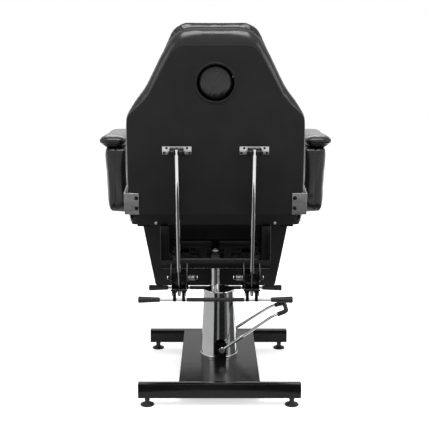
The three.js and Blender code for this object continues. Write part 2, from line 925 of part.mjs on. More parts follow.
// A lug reaches from its cross to the clamp's pin
function lug(low, crossY, pin) {
  const sides = strip([crossY, tubeZ], pin, clamp.lugRadius);
  const hole = circle(clamp.trunnionRadius + runGap, pin);
  const plate = prism('x', sides, low, low + clamp.lugThickness, [hole]);
  const half = frame.tube / 2 - weld;
  const inTube = block([0, frame.halfWidth], [crossY - half, crossY + half], [tubeZ - half, boardTop]);
  return cut(plate, inTube);
}

function frameCross(y, pin) {
  const cross = squareTube('x', -frame.halfWidth, frame.halfWidth, [y, tubeZ]);
  const post = squareTube('z', frameTop - weld, seat.bottom, [sideX, y]);
  const lugs = [lug(lugOuter, y, pin), lug(lugInner - clamp.lugThickness, y, pin)];
  const hand = join(cross, post, ...lugs);
  return join(hand, mirrored(hand));
}

const backClampPin = [clamp.backY, clamp.backZ];
const legClampPin = [clamp.legY, clamp.legZ];
place(chair, 'seat_frame_rear', frameCross(frameRearMid, backClampPin), paint);
place(chair, 'seat_frame_front', frameCross(frameFrontMid, legClampPin), paint);
placePair(chair, 'seat_frame_side', squareTube('y', ...innerYs, [sideX, tubeZ]), paint);

function frameCentre() {
  const half = frame.hubWidth / 2;
  const hub = block([-half, half], [-half, half], [frame.bottom, frameTop]);
  const rear = squareTube('y', innerYs[0], weld - half, [0, tubeZ]);
  const front = squareTube('y', half - weld, innerYs[1], [0, tubeZ]);
  const top = frameTop - frame.wall / 2;
  const bore = round('z', ram.stubRadius + runGap, frame.bottom - overrun, top, [0, 0], 24);
  return cut(join(hub, rear, front), bore);
}

place(chair, 'seat_frame_centre', frameCentre(), paint);

place(chair, 'seat_board', prism('z', rectangle(
  [-seat.halfWidth, seat.halfWidth],
  [seat.rearY, seat.frontY - seat.boardFrontSetback],
  seat.cornerRadius,
), seat.bottom, boardTop), vinyl);

function seatCushion() {
  const halfWidth = seat.halfWidth;
  const ys = [seat.rearY, seat.frontY];
  const sides = rectangle([-halfWidth, halfWidth], ys, seat.cornerRadius, 7, 4, seat.bow);
  const low = boardTop + restGap;
  return cushion('z', sides, sides, [
    ...sideRings(low, seat.edgeHeight, seat.edgeInset, seat.ringShares),
    ...crownRings(low + seat.edgeHeight, seat.crown, seat.edgeInset),
  ]);
}

place(chair, 'seat_cushion', seatCushion(), vinyl);

// Side plates: a bar along the edge of the seat board that rises to the hinge pin of the back
// and to that of the leg rest, and carries two pockets for the armrest's hooks
const plateOuter = hinge.plateInner + hinge.thickness;

function hingePin(y, z) {
  const head = plateOuter + restGap;
  const shank = round('x', hinge.pinRadius, hinge.earInner, head + weld, [y, z]);
  const cap = round('x', hinge.headRadius, head, head + hinge.headThickness, [y, z], 6);
  return join(shank, cap);
}

function pocket(y) {
  const half = arm.hookWidth / 2 + arm.pocketWall;
  const inner = hinge.earInner + hinge.thickness;
  const outer = arm.hookInner + arm.hookThickness + restGap + arm.pocketWall;
  const zs = [arm.pocketBottom, arm.pocketTop];
  const box = block([inner - weld, outer], [y - half, y + half], zs);
  const slotXs = [arm.hookInner - restGap, arm.hookInner + arm.hookThickness + restGap];
  const slotHalf = arm.hookWidth / 2 + restGap;
  const slotZs = [zs[0] - overrun, zs[1] + overrun];
  return cut(box, block(slotXs, [y - slotHalf, y + slotHalf], slotZs));
}

function sidePlate() {
  const low = seat.bottom + hinge.earInset;
  const high = low + hinge.earHeight;
  const xs = [hinge.earInner, hinge.earInner + hinge.thickness];
  const ys = [seat.rearY + seat.cornerRadius, seat.frontY - seat.boardFrontSetback - seat.cornerRadius];
  const bar = prism('x', rectangle(ys, [low, high], hinge.earInset), ...xs);
  const middle = (low + high) / 2;
  const noses = [
    strip([ys[0] + hinge.noseRadius, middle], [back.hingeY, back.hingeZ], hinge.noseRadius),
    strip([ys[1] - hinge.noseRadius, middle], [leg.hingeY, leg.hingeZ], hinge.noseRadius),
  ];
  const raised = noses.map((nose) => prism('x', nose, ...xs));
  const pins = [hingePin(back.hingeY, back.hingeZ), hingePin(leg.hingeY, leg.hingeZ)];
  return join(bar, ...raised, ...pins, pocket(arm.hookRearY), pocket(arm.hookFrontY));
}

placePair(chair, 'seat_side_plate', sidePlate(), zinc);

// Backrest
const backrest = turnedGroup(back.hingeY, back.hingeZ, back.recline);

function backOutline(bottomHalf, bottomRadius, shoulder, waist, top) {
  return outline([
    [-bottomHalf, 0, bottomRadius],
    [bottomHalf, 0, bottomRadius],
    [shoulder[0], shoulder[1], back.shoulderRadius],
    [waist[0], waist[1], back.waistRadius],
    [top[0], top[1], back.topRadius],
    [-top[0], top[1], back.topRadius],
    [-waist[0], waist[1], back.waistRadius],
    [-shoulder[0], shoulder[1], back.shoulderRadius],
  ]);
}

const panelOutline = backOutline(
  back.panelBottomHalf,
  back.panelRadius,
  [back.panelShoulderHalf, back.panelShoulderZ],
  [back.panelWaistHalf, back.panelWaistZ],
  [back.panelTopHalf, back.panelTop],
);
const padOutline = backOutline(
  back.bottomHalf,
  back.bottomRadius,
  [back.shoulderHalf, back.shoulderZ],
  [back.waistHalf, back.waistZ],
  [back.topHalf, back.top],
);
const boardFront = back.rearFace + back.boardThickness;

function backBoard() {
  const board = prism('y', panelOutline, back.rearFace, boardFront);
  const low = back.rearFace - overrun;
  const hole = round('y', back.holeRadius, low, boardFront + overrun, [0, back.holeZ], 28);
  return cut(board, hole);
}

place(backrest, 'back_board', backBoard(), vinyl);

function backCushion() {
  const low = boardFront + restGap;
  const rise = back.frontFace - low;
  const edge = back.edgeInset;
  const pad = cushion('y', panelOutline, padOutline, [
    ...sideRings(low, rise, edge, back.ringShares),
    ...crownRings(low + rise, back.crown, edge),
  ]);
  const rear = round('y', back.holeRadius, low - overrun, back.sleeveRear, [0, back.holeZ], 28);
  const end = back.frontFace + back.crown + overrun;
  const sleeve = round('y', back.sleeveRadius, back.sleeveRear - overrun, end, [0, back.holeZ], 28);
  return cut(pad, rear, sleeve);
}

place(backrest, 'back_cushion', backCushion(), vinyl);

function facePlug() {
  const sides = circle(back.plugRadius, [0, back.holeZ], 28);
  const rise = back.plugFront - back.plugRear;
  const crown = back.plugCrown;
  return cushion('y', sides, sides, [
    ...crownRings(back.plugRear, -crown, 2 * crown, 2).reverse(),
    ...sideRings(back.plugRear, rise, crown, back.plugRingShares),
    ...crownRings(back.plugFront, crown, crown, 2),
  ]);
}

place(backrest, 'face_plug', facePlug(), vinyl);

// Hinge plate of the back or the leg rest: a bent plate on the rear of the board whose side
// runs forward to the hinge pin
function hingePlate(boardRear, lowZ, height) {
  const rearFace = boardRear - restGap;
  const highZ = lowZ + height;
  const xs = [plateOuter - hinge.plateWidth, plateOuter];
  const rear = block(xs, [rearFace - hinge.rearPlate, rearFace], [lowZ, highZ]);
  const nose = hinge.noseRadius;
  const sideXs = [hinge.plateInner, plateOuter];
  const side = prism('x', rectangle([rearFace - hinge.rearPlate, nose], [lowZ, highZ], nose / 2), ...sideXs);
  const reach = (lowZ + highZ) / 2;
  const ear = prism('x', strip([0, 0], [0, reach], nose), ...sideXs);
  const bore = round('x', hinge.pinRadius + runGap, xs[0], plateOuter + overrun, [0, 0]);
  return cut(join(rear, side, ear), bore);
}

const backPlate = hingePlate(back.rearFace, back.plateLow, back.plateHeight);
placePair(backrest, 'back_hinge_plate', backPlate, zinc);

// Rod bracket: a plate on the board with two folded ears that hold the rod's pin
function rodBracket(boardRear, pinY, pinZ) {
  const rearFace = boardRear - restGap;
  const half = rod.plateWidth / 2;
  const low = rearFace - rod.plateThickness;
  const plateZs = [pinZ - rod.plateHeight / 2, pinZ + rod.plateHeight / 2];
  const plate = block([rodX - half, rodX + half], [low, rearFace], plateZs);
  const profile = strip([low, pinZ], [pinY, pinZ], rod.earHalf);
  const ears = [-1, 1].map((hand) => {
    const middle = rodX + hand * rod.earSpread;
    const ear = prism('x', profile, middle - rod.earThickness / 2, middle + rod.earThickness / 2);
    const behind = block([middle - half, middle + half], [rearFace, 0], [-rod.backLength, rod.backLength]);
    return cut(ear, behind);
  });
  const pin = round('x', rod.pinRadius, rodX - rod.pinHalf, rodX + rod.pinHalf, [pinY, pinZ]);
  return join(plate, ...ears, pin);
}

// The hinge, the rod's pin and the clamp's pin make an isosceles triangle, so that the rod
// and its clamp turn through exactly half of the hinge's angle
function rodPin(part, clampPin, standoff) {
  const reach = Math.hypot(clampPin[0] - part.hingeY, clampPin[1] - part.hingeZ);
  const y = part.rearFace - standoff;
  return { y, z: Math.sqrt(reach ** 2 - y ** 2) };
}

const backPin = rodPin(back, backClampPin, rod.backStandoff);
const legPin = rodPin(leg, legClampPin, rod.legStandoff);
legPin.z = -legPin.z;

placePair(backrest, 'back_rod_bracket', rodBracket(back.rearFace, backPin.y, backPin.z), zinc);

// Leg rest
const legRest = turnedGroup(leg.hingeY, leg.hingeZ, leg.tilt);

function legOutline(trim) {
  return outline([
    [trim - leg.bottomHalf, leg.bottomZ + trim, leg.bottomRadius],
    [leg.bottomHalf - trim, leg.bottomZ + trim, leg.bottomRadius],
    [leg.topHalf - trim, leg.topZ - trim, leg.topRadius],
    [trim - leg.topHalf, leg.topZ - trim, leg.topRadius],
  ]);
}

const legBoardFront = leg.rearFace + leg.boardThickness;
const legBoardOutline = legOutline(leg.boardTrim);
const legBoard = prism('y', legBoardOutline, leg.rearFace, legBoardFront);
place(legRest, 'leg_board', legBoard, vinyl);

function legCushion() {
  const low = legBoardFront + restGap;
  const rise = leg.frontFace - low;
  const edge = leg.edgeInset;
  return cushion('y', legBoardOutline, legOutline(0), [
    ...sideRings(low, rise, edge, leg.ringShares),
    ...crownRings(low + rise, leg.crown, edge),
  ]);
}

place(legRest, 'leg_cushion', legCushion(), vinyl);
const legPlate = hingePlate(leg.rearFace, leg.plateLow, leg.plateHeight);
placePair(legRest, 'leg_hinge_plate', legPlate, paint);
placePair(legRest, 'leg_rod_bracket', rodBracket(leg.rearFace, legPin.y, legPin.z), zinc);

// Friction rods, each drawn straight down from its pin and turned towards its clamp
function inWorld(pin, part, angle) {
  const y = part.hingeY + pin.y * Math.cos(angle) - pin.z * Math.sin(angle);
  const z = part.hingeZ + pin.y * Math.sin(angle) + pin.z * Math.cos(angle);
  return [y, z];
}

const backPinAt = inWorld(backPin, back, back.recline);
const legPinAt = inWorld(legPin, leg, leg.tilt);
const backRodTurn = Math.atan2(clamp.backY - backPinAt[0], backPinAt[1] - clamp.backZ);
const legRodTurn = Math.atan2(clamp.legY - legPinAt[0], legPinAt[1] - clamp.legZ);

function frictionRod(length) {
  const top = rod.beyondPin;
  const tube = prism('z', circle(rod.radius, [0, 0], 16), top - length, top);
  const hole = round('x', rod.pinRadius + runGap, -rod.pinHalf, rod.pinHalf);
  return shifted(cut(tube, hole), rodX, 0, 0);
}

const backRods = turnedGroup(...backPinAt, backRodTurn);
placePair(backRods, 'back_rod', frictionRod(rod.backLength), zinc);
const legRods = turnedGroup(...legPinAt, legRodTurn);
placePair(legRods, 'leg_rod', frictionRod(rod.legLength), zinc);

// Clamps: a channel that hangs from two trunnions, with a block that grips the rod. The nut
// of the inner trunnion bears on a spring.
function clampBlock(turn) {
  const width = [-clamp.halfWidth + weld, clamp.halfWidth - weld];
  const depth = clamp.blockHalfDepth;
  const height = clamp.blockHalfHeight;
  const bored = cut(
    block(width, [-depth, depth], [-height, height]),
    round('z', rod.radius + runGap, -2 * height, 2 * height),
  );
  return bored.rotateX(turn);
}

function trunnions() {
  const stub = clamp.trunnionRadius;
  const inside = clamp.halfWidth - clamp.wall - weld;
  const nutOuter = clamp.outerEnd - clamp.nutThickness;
  const nutInner = clamp.innerEnd - clamp.nutThickness;
  return [
    round('x', stub, inside, clamp.outerEnd),
    round('x', stub, -clamp.innerEnd, -inside),
    round('x', clamp.nutRadius, nutOuter, clamp.outerEnd, [0, 0], 6),
    round('x', clamp.nutRadius, -clamp.innerEnd, -nutInner, [0, 0], 6),
  ];
}

function clampChannel(bottom) {
  const cheekYs = [clamp.rear, clamp.front];
  const radius = (clamp.front - clamp.rear) / 4;
  const sides = rectangle(cheekYs, [bottom, clamp.top], radius, 1, 2);
  const cheek = prism('x', sides, 0, clamp.wall);
  const near = shifted(cheek, -clamp.halfWidth, 0, 0);
  const far = shifted(cheek, clamp.halfWidth - clamp.wall, 0, 0);
  const half = clamp.halfWidth - clamp.wall / 2;
  const webYs = [clamp.front - clamp.wall, clamp.front];
  const web = block([-half, half], webYs, [bottom + radius, clamp.webTop]);
  return [near, far, web];
}

function clampAssembly(bottom, blockTurn, pinY, pinZ) {
  const body = join(...clampChannel(bottom), clampBlock(blockTurn), ...trunnions());
  const span = clamp.halfWidth + overrun;
  const pinHole = round('x', lever.pinRadius + runGap, -span, span, [pinY, pinZ]);
  return shifted(cut(body, pinHole), rodX, 0, 0);
}

const backLeverPinZ = lever.backZ + lever.reach;
const legLeverPinZ = lever.legZ + lever.reach;
const backClamps = turnedGroup(...backClampPin, backRodTurn);
const backClamp = clampAssembly(clamp.backBottom, 0, lever.backPinY, backLeverPinZ);
placePair(backClamps, 'back_clamp', backClamp, paint);

const springHigh = lugInner - clamp.lugThickness - restGap - rodX;
const springLow = clamp.nutThickness - clamp.innerEnd + restGap;
const coil = spring(springLow, springHigh, clamp.springRadius, clamp.springWire, springTurns);
placePair(backClamps, 'back_clamp_spring', shifted(coil, rodX, 0, 0), zinc);

const legClamps = turnedGroup(...legClampPin, 0);
placePair(legClamps, 'leg_clamp', clampAssembly(clamp.legBottom, legRodTurn, 0, legLeverPinZ), paint);

// Release levers: one bar across both clamps on four short arms
function leverBar(half, barY, barZ, pinY) {
  const pinZ = barZ + lever.reach;
  const outer = clamp.halfWidth - clamp.wall - lever.armGap;
  const profile = strip([barY, barZ], [pinY, pinZ], lever.armHalf);
  const arms = [-outer, outer - lever.armThickness].map((low) => (
    prism('x', profile, rodX + low, rodX + low + lever.armThickness)
  ));
  const end = clamp.halfWidth + lever.pinEnd;
  const pin = round('x', lever.pinRadius, rodX - end, rodX + end, [pinY, pinZ]);
  const bar = round('x', lever.barRadius, -half + lever.gripCap, half - lever.gripCap, [barY, barZ]);
  const sleeve = round('x', lever.sleeveRadius, -lever.sleeveHalf, lever.sleeveHalf, [barY, barZ]);
  return join(bar, sleeve, ...arms, pin, ...arms.map(mirrored), mirrored(pin));
}

function leverGrip(half, barY, barZ) {
  const inner = half - lever.gripLength;
  const bore = lever.barRadius + runGap;
  const edge = lever.gripCap / 2;
  const grip = turned([
    [bore, inner],
    [lever.gripInnerRadius, inner],
    [lever.gripOuterRadius, half - lever.gripCap],
    [lever.gripOuterRadius - edge, half],
    [0, half],
    [0, half - lever.gripCap + restGap],
    [bore, half - lever.gripCap + restGap],
    [bore, inner],
  ], 16);
  return grip.rotateY(Math.PI / 2).translate(0, barY, barZ);
}

const backLever = turnedGroup(...backClampPin, backRodTurn);
place(backLever, 'back_lever_bar', leverBar(lever.backHalf, lever.backY, lever.backZ, lever.backPinY), zinc);
placePair(backLever, 'back_lever_grip', leverGrip(lever.backHalf, lever.backY, lever.backZ), rubber);

const legLever = turnedGroup(...legClampPin, 0);
place(legLever, 'leg_lever_bar', leverBar(lever.legHalf, 0, lever.legZ, 0), zinc);
placePair(legLever, 'leg_lever_grip', leverGrip(lever.legHalf, 0, lever.legZ), rubber);

// Armrests: an upholstered panel with two steel hooks, and a crowned pad on top
function armPanel() {
  const radius = arm.edgeRadius;
  const sides = outline([
    [arm.rearY, arm.bottom, arm.cornerRadius],
    [arm.frontY, arm.bottom, arm.cornerRadius],
    [arm.frontY, arm.top, radius],
    [arm.rearY, arm.top, radius],
  ]);
  const panel = cushion('x', sides, sides, [
    ...sideRings(arm.inner, arm.thickness, arm.edgeInset, arm.ringShares),
    ...crownRings(arm.inner + arm.thickness, arm.belly, arm.edgeInset, 3),
  ]);
  const hooks = [arm.hookRearY, arm.hookFrontY].map((y) => {
    const half = arm.hookWidth / 2;
    const xs = [arm.hookInner, arm.hookInner + arm.hookThickness];
    const shelfZ = arm.pocketTop + restGap;
    const shelf = [shelfZ, shelfZ + arm.hookThickness];
    const tongue = block(xs, [y - half, y + half], [arm.hookBottom, shelf[1]]);
    const bridge = block([xs[0], arm.inner + radius], [y - half, y + half], shelf);
    return join(tongue, bridge);
  });
  return join(panel, ...hooks);
}

placePair(chair, 'armrest_panel', armPanel(), vinyl);

function armPad() {
  const inner = arm.inner - arm.padOverhang;
  const sides = rectangle([inner, inner + arm.padWidth], [arm.padRearY, arm.padFrontY], arm.padRadius);
  const low = arm.top + restGap;
  return cushion('z', sides, sides, [
    ...sideRings(low, arm.padThickness, arm.padInset, arm.padRingShares),
    ...crownRings(low + arm.padThickness, arm.padCrown, arm.padInset, 3),
  ]);
}

placePair(chair, 'armrest_pad', armPad(), vinyl);

chair.updateMatrixWorld(true);
const bounds = new THREE.Box3().setFromObject(chair, true);
chair.position.y = -(bounds.min.y + bounds.max.y) / 2;

export default chair;
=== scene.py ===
# %% [markdown]
# # A tattoo chair, dressed piece by piece
# The chair stands on a flat steel base with a foot pump. Above it are a seat on a square-tube
# frame, a back with a round face hole, a leg rest that hangs at the front, two armrests, and
# four polished rods that lock the back and the leg rest. The measured model has every piece in
# its place already. Here each piece gets the shape and the finish that the eye expects.

# %% Load the measured model
import json
import math
import bmesh
import bpy
from mathutils import Matrix, Vector, noise
from mathutils.bvhtree import BVHTree

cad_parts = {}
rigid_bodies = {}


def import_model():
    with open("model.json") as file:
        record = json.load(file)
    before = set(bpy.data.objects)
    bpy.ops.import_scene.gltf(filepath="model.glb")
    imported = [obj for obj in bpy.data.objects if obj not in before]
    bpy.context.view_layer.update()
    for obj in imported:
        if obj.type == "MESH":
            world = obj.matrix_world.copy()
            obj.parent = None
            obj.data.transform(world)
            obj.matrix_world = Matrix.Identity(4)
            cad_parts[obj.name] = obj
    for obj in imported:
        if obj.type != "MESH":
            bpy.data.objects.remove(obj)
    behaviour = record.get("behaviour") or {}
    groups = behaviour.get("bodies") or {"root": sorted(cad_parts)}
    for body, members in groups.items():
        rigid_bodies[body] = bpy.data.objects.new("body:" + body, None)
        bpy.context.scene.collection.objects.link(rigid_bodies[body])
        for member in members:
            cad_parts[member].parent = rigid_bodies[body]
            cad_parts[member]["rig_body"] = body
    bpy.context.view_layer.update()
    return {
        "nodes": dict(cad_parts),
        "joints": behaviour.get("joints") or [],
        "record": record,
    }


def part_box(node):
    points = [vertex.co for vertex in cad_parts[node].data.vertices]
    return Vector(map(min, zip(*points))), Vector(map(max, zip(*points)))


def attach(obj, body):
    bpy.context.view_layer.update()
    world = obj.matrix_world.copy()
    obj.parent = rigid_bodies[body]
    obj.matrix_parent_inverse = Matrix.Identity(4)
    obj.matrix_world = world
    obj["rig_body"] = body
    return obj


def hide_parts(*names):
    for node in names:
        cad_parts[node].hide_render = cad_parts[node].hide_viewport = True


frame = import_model()
scene = bpy.context.scene
record = frame["record"]
joint_at = {j["name"]: Vector(j["pos_m"]) for j in frame["joints"] if "pos_m" in j}
slot_of = {part["node"]: part["material_slot"] for part in record["subparts"]}
print(len(frame["nodes"]), "nodes,", len(joint_at), "joints with a place")

# %% [markdown]
# The back and the leg rest lean, so each is drawn upright in a frame of its own at its hinge
# and turned once at the end. The rods and the clamps have such frames too: a rod's frame
# starts at its upper pin and looks down the rod.

# %% The leaning frames
mm = 0.001
hands = (("left", -1), ("right", 1))
back_lean, leg_lean = math.radians(10.5), math.radians(10)


def leaning(joint, angle):
    return Matrix.Translation(joint_at[joint]) @ Matrix.Rotation(angle, 4, "X")


def towards(pin, clamp):
    run = joint_at[clamp] - joint_at[pin]
    return math.atan2(run.y, -run.z)


back_rod_lean = towards("back_rod_pins", "back_clamp_pins")
leg_rod_lean = towards("leg_rod_pins", "leg_clamp_pins")
at_back = leaning("back_hinge", back_lean)
at_leg = leaning("leg_hinge", leg_lean)
at_back_rod = leaning("back_rod_pins", back_rod_lean)
at_leg_rod = leaning("leg_rod_pins", leg_rod_lean)
at_back_clamp = leaning("back_clamp_pins", back_rod_lean)
at_leg_clamp = leaning("leg_clamp_pins", 0)
print("rods lean", round(math.degrees(back_rod_lean), 1), round(math.degrees(leg_rod_lean), 1))

# %% [markdown]
# Outlines are drawn flat, as across and up, with the depth last. Three small matrices stand
# such a drawing up: seen from behind, from above, or from the side of the chair.

# %% Ways to stand a drawing up
from_behind = Matrix(((1, 0, 0, 0), (0, 0, 1, 0), (0, 1, 0, 0), (0, 0, 0, 1)))
from_above = Matrix.Identity(4)
from_side = Matrix(((0, 0, 1, 0), (1, 0, 0, 0), (0, 1, 0, 0), (0, 0, 0, 1)))
rod_x = (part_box("back_rod_right")[0].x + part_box("back_rod_right")[1].x) / 2
print("rods at", round(rod_x * 1000, 1), "mm from the middle")

# %% [markdown]
# Every finish is a small node tree on the piece's own coordinates, in metres. A helper starts
# the tree, another spreads a slow change of tone, and a third raises a grain. Values that are
# the same all over the surface sit on the shader itself.

# %% Helpers for finishes
def start_finish(name, metallic=0.0, specular=0.5):
    material = bpy.data.materials.new(name)
    material.use_nodes = True
    tree = material.node_tree
    shader = tree.nodes["Principled BSDF"]
    shader.inputs["Metallic"].default_value = metallic
    shader.inputs["Specular IOR Level"].default_value = specular
    coords = tree.nodes.new("ShaderNodeTexCoord").outputs["Object"]
    return material, tree, shader, coords


def add_node(tree, kind, inputs):
    """Adds a node. An input is linked if a socket is given for it, and set otherwise."""
    node = tree.nodes.new("ShaderNode" + kind)
    for name, value in inputs.items():
        if isinstance(value, bpy.types.NodeSocket):
            tree.links.new(value, node.inputs[name])
        else:
            node.inputs[name].default_value = value
    return node


def cloud(tree, coords, scale, detail, stretch=(1, 1, 1)):
    mapping = add_node(tree, "Mapping", {"Vector": coords, "Scale": stretch})
    spots = mapping.outputs["Vector"]
    texture = add_node(tree, "TexNoise", {"Vector": spots, "Scale": scale, "Detail": detail})
    return texture.outputs["Fac"]


def tone(tree, share, dark, pale, socket):
    ramp = add_node(tree, "ValToRGB", {"Fac": share})
    for element, position, colour in zip(ramp.color_ramp.elements, (0.3, 0.7), (dark, pale)):
        element.position = position
        element.color = (*colour, 1)
    tree.links.new(ramp.outputs["Color"], socket)


def spread(tree, share, low, high, socket):
    limits = {"From Min": 0.3, "From Max": 0.7, "To Min": low, "To Max": high}
    change = add_node(tree, "MapRange", {"Value": share, **limits})
    tree.links.new(change.outputs["Result"], socket)


def relief(tree, height, depth, strength, shader, under=None):
    bump = add_node(tree, "Bump", {"Height": height, "Distance": depth, "Strength": strength})
    if under:
        tree.links.new(under, bump.inputs["Normal"])
    tree.links.new(bump.outputs["Normal"], shader.inputs["Normal"])
    return bump.outputs["Normal"]


def pebbles(tree, coords, scale):
    return add_node(tree, "TexVoronoi", {"Vector": coords, "Scale": scale}).outputs["Distance"]


# %% [markdown]
# The cover is black vinyl with a fine pebble grain. Over foam it is stretched and shines a
# little. Over the boards it is duller, with slow creases that the grain rides on. Both come
# from one recipe with other numbers.

# %% Vinyl over foam and vinyl over board
def vinyl(name, dark, pale, smooth, rough, specular, crease):
    material, tree, shader, coords = start_finish(name, specular=specular)
    slow = cloud(tree, coords, 11, 4)
    tone(tree, slow, (dark,) * 3, (pale, pale, pale * 1.04), shader.inputs["Base Color"])
    spread(tree, cloud(tree, coords, 37, 5), smooth, rough, shader.inputs["Roughness"])
    folds = relief(tree, cloud(tree, coords, 7, 2.5, (1, 1, 0.6)), crease, 1.0, shader)
    relief(tree, pebbles(tree, coords, 620), 0.00012, 0.25, shader, folds)
    return material


vinyl_foam = vinyl("vinyl_over_foam", 0.006, 0.009, 0.2, 0.28, 0.36, 0.002)
vinyl_board = vinyl("vinyl_over_board", 0.009, 0.012, 0.44, 0.54, 0.14, 0.002)
vinyl_welt = vinyl("vinyl_welt", 0.008, 0.012, 0.34, 0.42, 0.4, 0.0005)
print("vinyl finishes:", vinyl_foam.name, vinyl_board.name, vinyl_welt.name)

# %% [markdown]
# The steel has four finishes. Chrome is a mirror with faint wiping marks. Zinc plating is
# brighter in some patches and drawn out along the sheet. Powder paint has the skin of an
# orange. The pump's casting is grey iron. Rubber is dull and slightly dusty.

# %% Metals, paint and rubber
def plain_finish(name, metallic, specular, colour, rough, grain=None):
    """Tone, roughness and grain each start with a scale and a detail of their own."""
    material, tree, shader, coords = start_finish(name, metallic, specular)
    scale, detail, dark, pale = colour
    tone(tree, cloud(tree, coords, scale, detail), dark, pale, shader.inputs["Base Color"])
    scale, detail, low, high, stretch = rough
    wear = cloud(tree, coords, scale, detail, stretch)
    spread(tree, wear, low, high, shader.inputs["Roughness"])
    if grain:
        scale, detail, depth, strength = grain
        relief(tree, cloud(tree, coords, scale, detail, stretch), depth, strength, shader)
    return material


chrome = plain_finish(
    "chrome", 1.0, 0.5, (18, 3, (0.5, 0.51, 0.52), (0.56, 0.56, 0.57)),
    (60, 4, 0.05, 0.11, (1, 1, 0.1)),
)
zinc = plain_finish(
    "zinc_plating", 1.0, 0.5, (45, 4, (0.44, 0.44, 0.435), (0.5, 0.5, 0.495)),
    (260, 3, 0.26, 0.36, (0.08, 1, 1)), (260, 3, 0.00002, 0.4),
)
paint = plain_finish(
    "black_powder_paint", 0.0, 0.17, (9, 3, (0.004,) * 3, (0.006,) * 3),
    (25, 4, 0.16, 0.24, (1, 1, 1)), (420, 2, 0.00006, 0.3),
)
iron = plain_finish(
    "cast_iron", 0.7, 0.5, (60, 5, (0.03, 0.03, 0.032), (0.07, 0.07, 0.072)),
    (90, 4, 0.45, 0.62, (1, 1, 1)), (520, 4, 0.0003, 0.6),
)
rubber = plain_finish(
    "rubber", 0.0, 0.35, (30, 4, (0.008,) * 3, (0.014,) * 3),
    (55, 4, 0.48, 0.62, (1, 1, 1)), (900, 2, 0.00015, 0.35),
)
finish_of_slot = {
    "vinyl_foam": vinyl_foam, "vinyl_board": vinyl_board, "rubber": rubber, "chrome": chrome,
    "pump_iron": iron, "black_paint": paint, "zinc_steel": zinc,
}
for name, node in frame["nodes"].items():
    for place in node.material_slots:
        place.material = finish_of_slot[slot_of[name]]
print("every node has a finish from", len(finish_of_slot), "slots")

# %% [markdown]
# A piece is drawn in a bmesh, stood up by a matrix, and made an object that rides on its body.
# Shading is smooth, except across edges that are really sharp.

# %% Helpers that finish a piece
def stand_up(bm, matrix):
    bmesh.ops.transform(bm, matrix=matrix, verts=bm.verts)
    bmesh.ops.remove_doubles(bm, verts=bm.verts, dist=1e-6)
    bmesh.ops.recalc_face_normals(bm, faces=bm.faces)


def mesh_of(name, bm):
    mesh = bpy.data.meshes.new(name)
    bm.to_mesh(mesh)
    bm.free()
    return mesh


def add_object(name, data):
    thing = bpy.data.objects.new(name, data)
    scene.collection.objects.link(thing)
    return thing


def add_part(bm, part, matrix):
    """Stands a part up and adds it to the piece."""
    stand_up(part, matrix)
    mesh = mesh_of("part", part)
    bm.from_mesh(mesh)
    bpy.data.meshes.remove(mesh)


def bevelled(bm, edges, width, segments=2, affect="EDGES", clamp=True):
    bmesh.ops.bevel(
        bm, geom=edges, offset=width, offset_type="OFFSET", segments=segments, profile=0.5,
        affect=affect, material=-1, clamp_overlap=clamp,
    )


def shade(piece, sharp_above=35):
    piece.data.shade_smooth()
    piece.data.set_sharp_from_angle(angle=math.radians(sharp_above))


def make_piece(name, bm, finish, body, stands_for=(), sharp_above=35):
    mesh = mesh_of(name, bm)
    mesh.materials.append(finish)
    piece = add_object(name, mesh)
    shade(piece, sharp_above)
    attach(piece, body)
    if stands_for:
        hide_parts(*stands_for)
    print(f"{name}: {len(mesh.polygons)} faces")
    return piece


def stand_in(node, bm, finish=None, sharp_above=35):
    """Makes the piece that is shown in a node's place, on its body and with its slot's finish."""
    slot, body = slot_of[node], frame["nodes"][node]["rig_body"]
    finish = finish or finish_of_slot[slot]
    return make_piece(node + "_shown", bm, finish, body, [node], sharp_above)


def settle(piece):
    """Makes what the modifiers show the piece's own mesh."""
    shown = piece.evaluated_get(bpy.context.evaluated_depsgraph_get())
    mesh = bpy.data.meshes.new_from_object(shown)
    piece.modifiers.clear()
    piece.data = mesh


# %% [markdown]
# Round things, such as rods, feet and bolt heads, are a half profile spun once round its axis.
# The profile is a few points, each a radius and a height.

# %% Spin a profile
def spun(bm, profile, matrix, steps):
    """Spins a profile, given in millimetres, and adds it to the piece."""
    part = bmesh.new()
    line = [part.verts.new((radius * mm, 0, height * mm)) for radius, height in profile]
    edges = [part.edges.new(pair) for pair in zip(line, line[1:])]
    bmesh.ops.spin(
        part, geom=line + edges, cent=(0, 0, 0), axis=(0, 0, 1), dvec=(0, 0, 0),
        angle=2 * math.pi, steps=steps, use_merge=True, use_duplicate=False,
    )
    add_part(bm, part, matrix)


def spun_node(node, profile, matrix, steps, finish):
    bm = bmesh.new()
    spun(bm, profile, matrix, steps)
    return stand_in(node, bm, finish)


along_x = Matrix.Rotation(math.radians(90), 4, "Y")
along_y = Matrix.Rotation(math.radians(-90), 4, "X")
backwards = Matrix.Rotation(math.radians(90), 4, "X")


def outwards(side):
    """The turn that points a spun part away from the middle of the chair."""
    return along_x if side > 0 else Matrix.Rotation(math.radians(-90), 4, "Y")


def dome_head(bm, radius, height, matrix):
    """A screw's domed head with a round recess, standing on its base."""
    profile = [
        (0, 0.45 * height), (0.36 * radius, 0.45 * height), (0.42 * radius, 0.98 * height),
        (0.62 * radius, 0.9 * height), (0.86 * radius, 0.6 * height), (radius, 0.2 * height),
        (radius, 0), (0, 0),
    ]
    spun(bm, profile, matrix, 20)


# %% [markdown]
# Sheet and tube keep the shape of the measured model, but a real pressed or sawn edge is never
# razor sharp. A copy of the node is welded, its flat triangles are joined, and a small bevel
# breaks the edges so that they catch light.

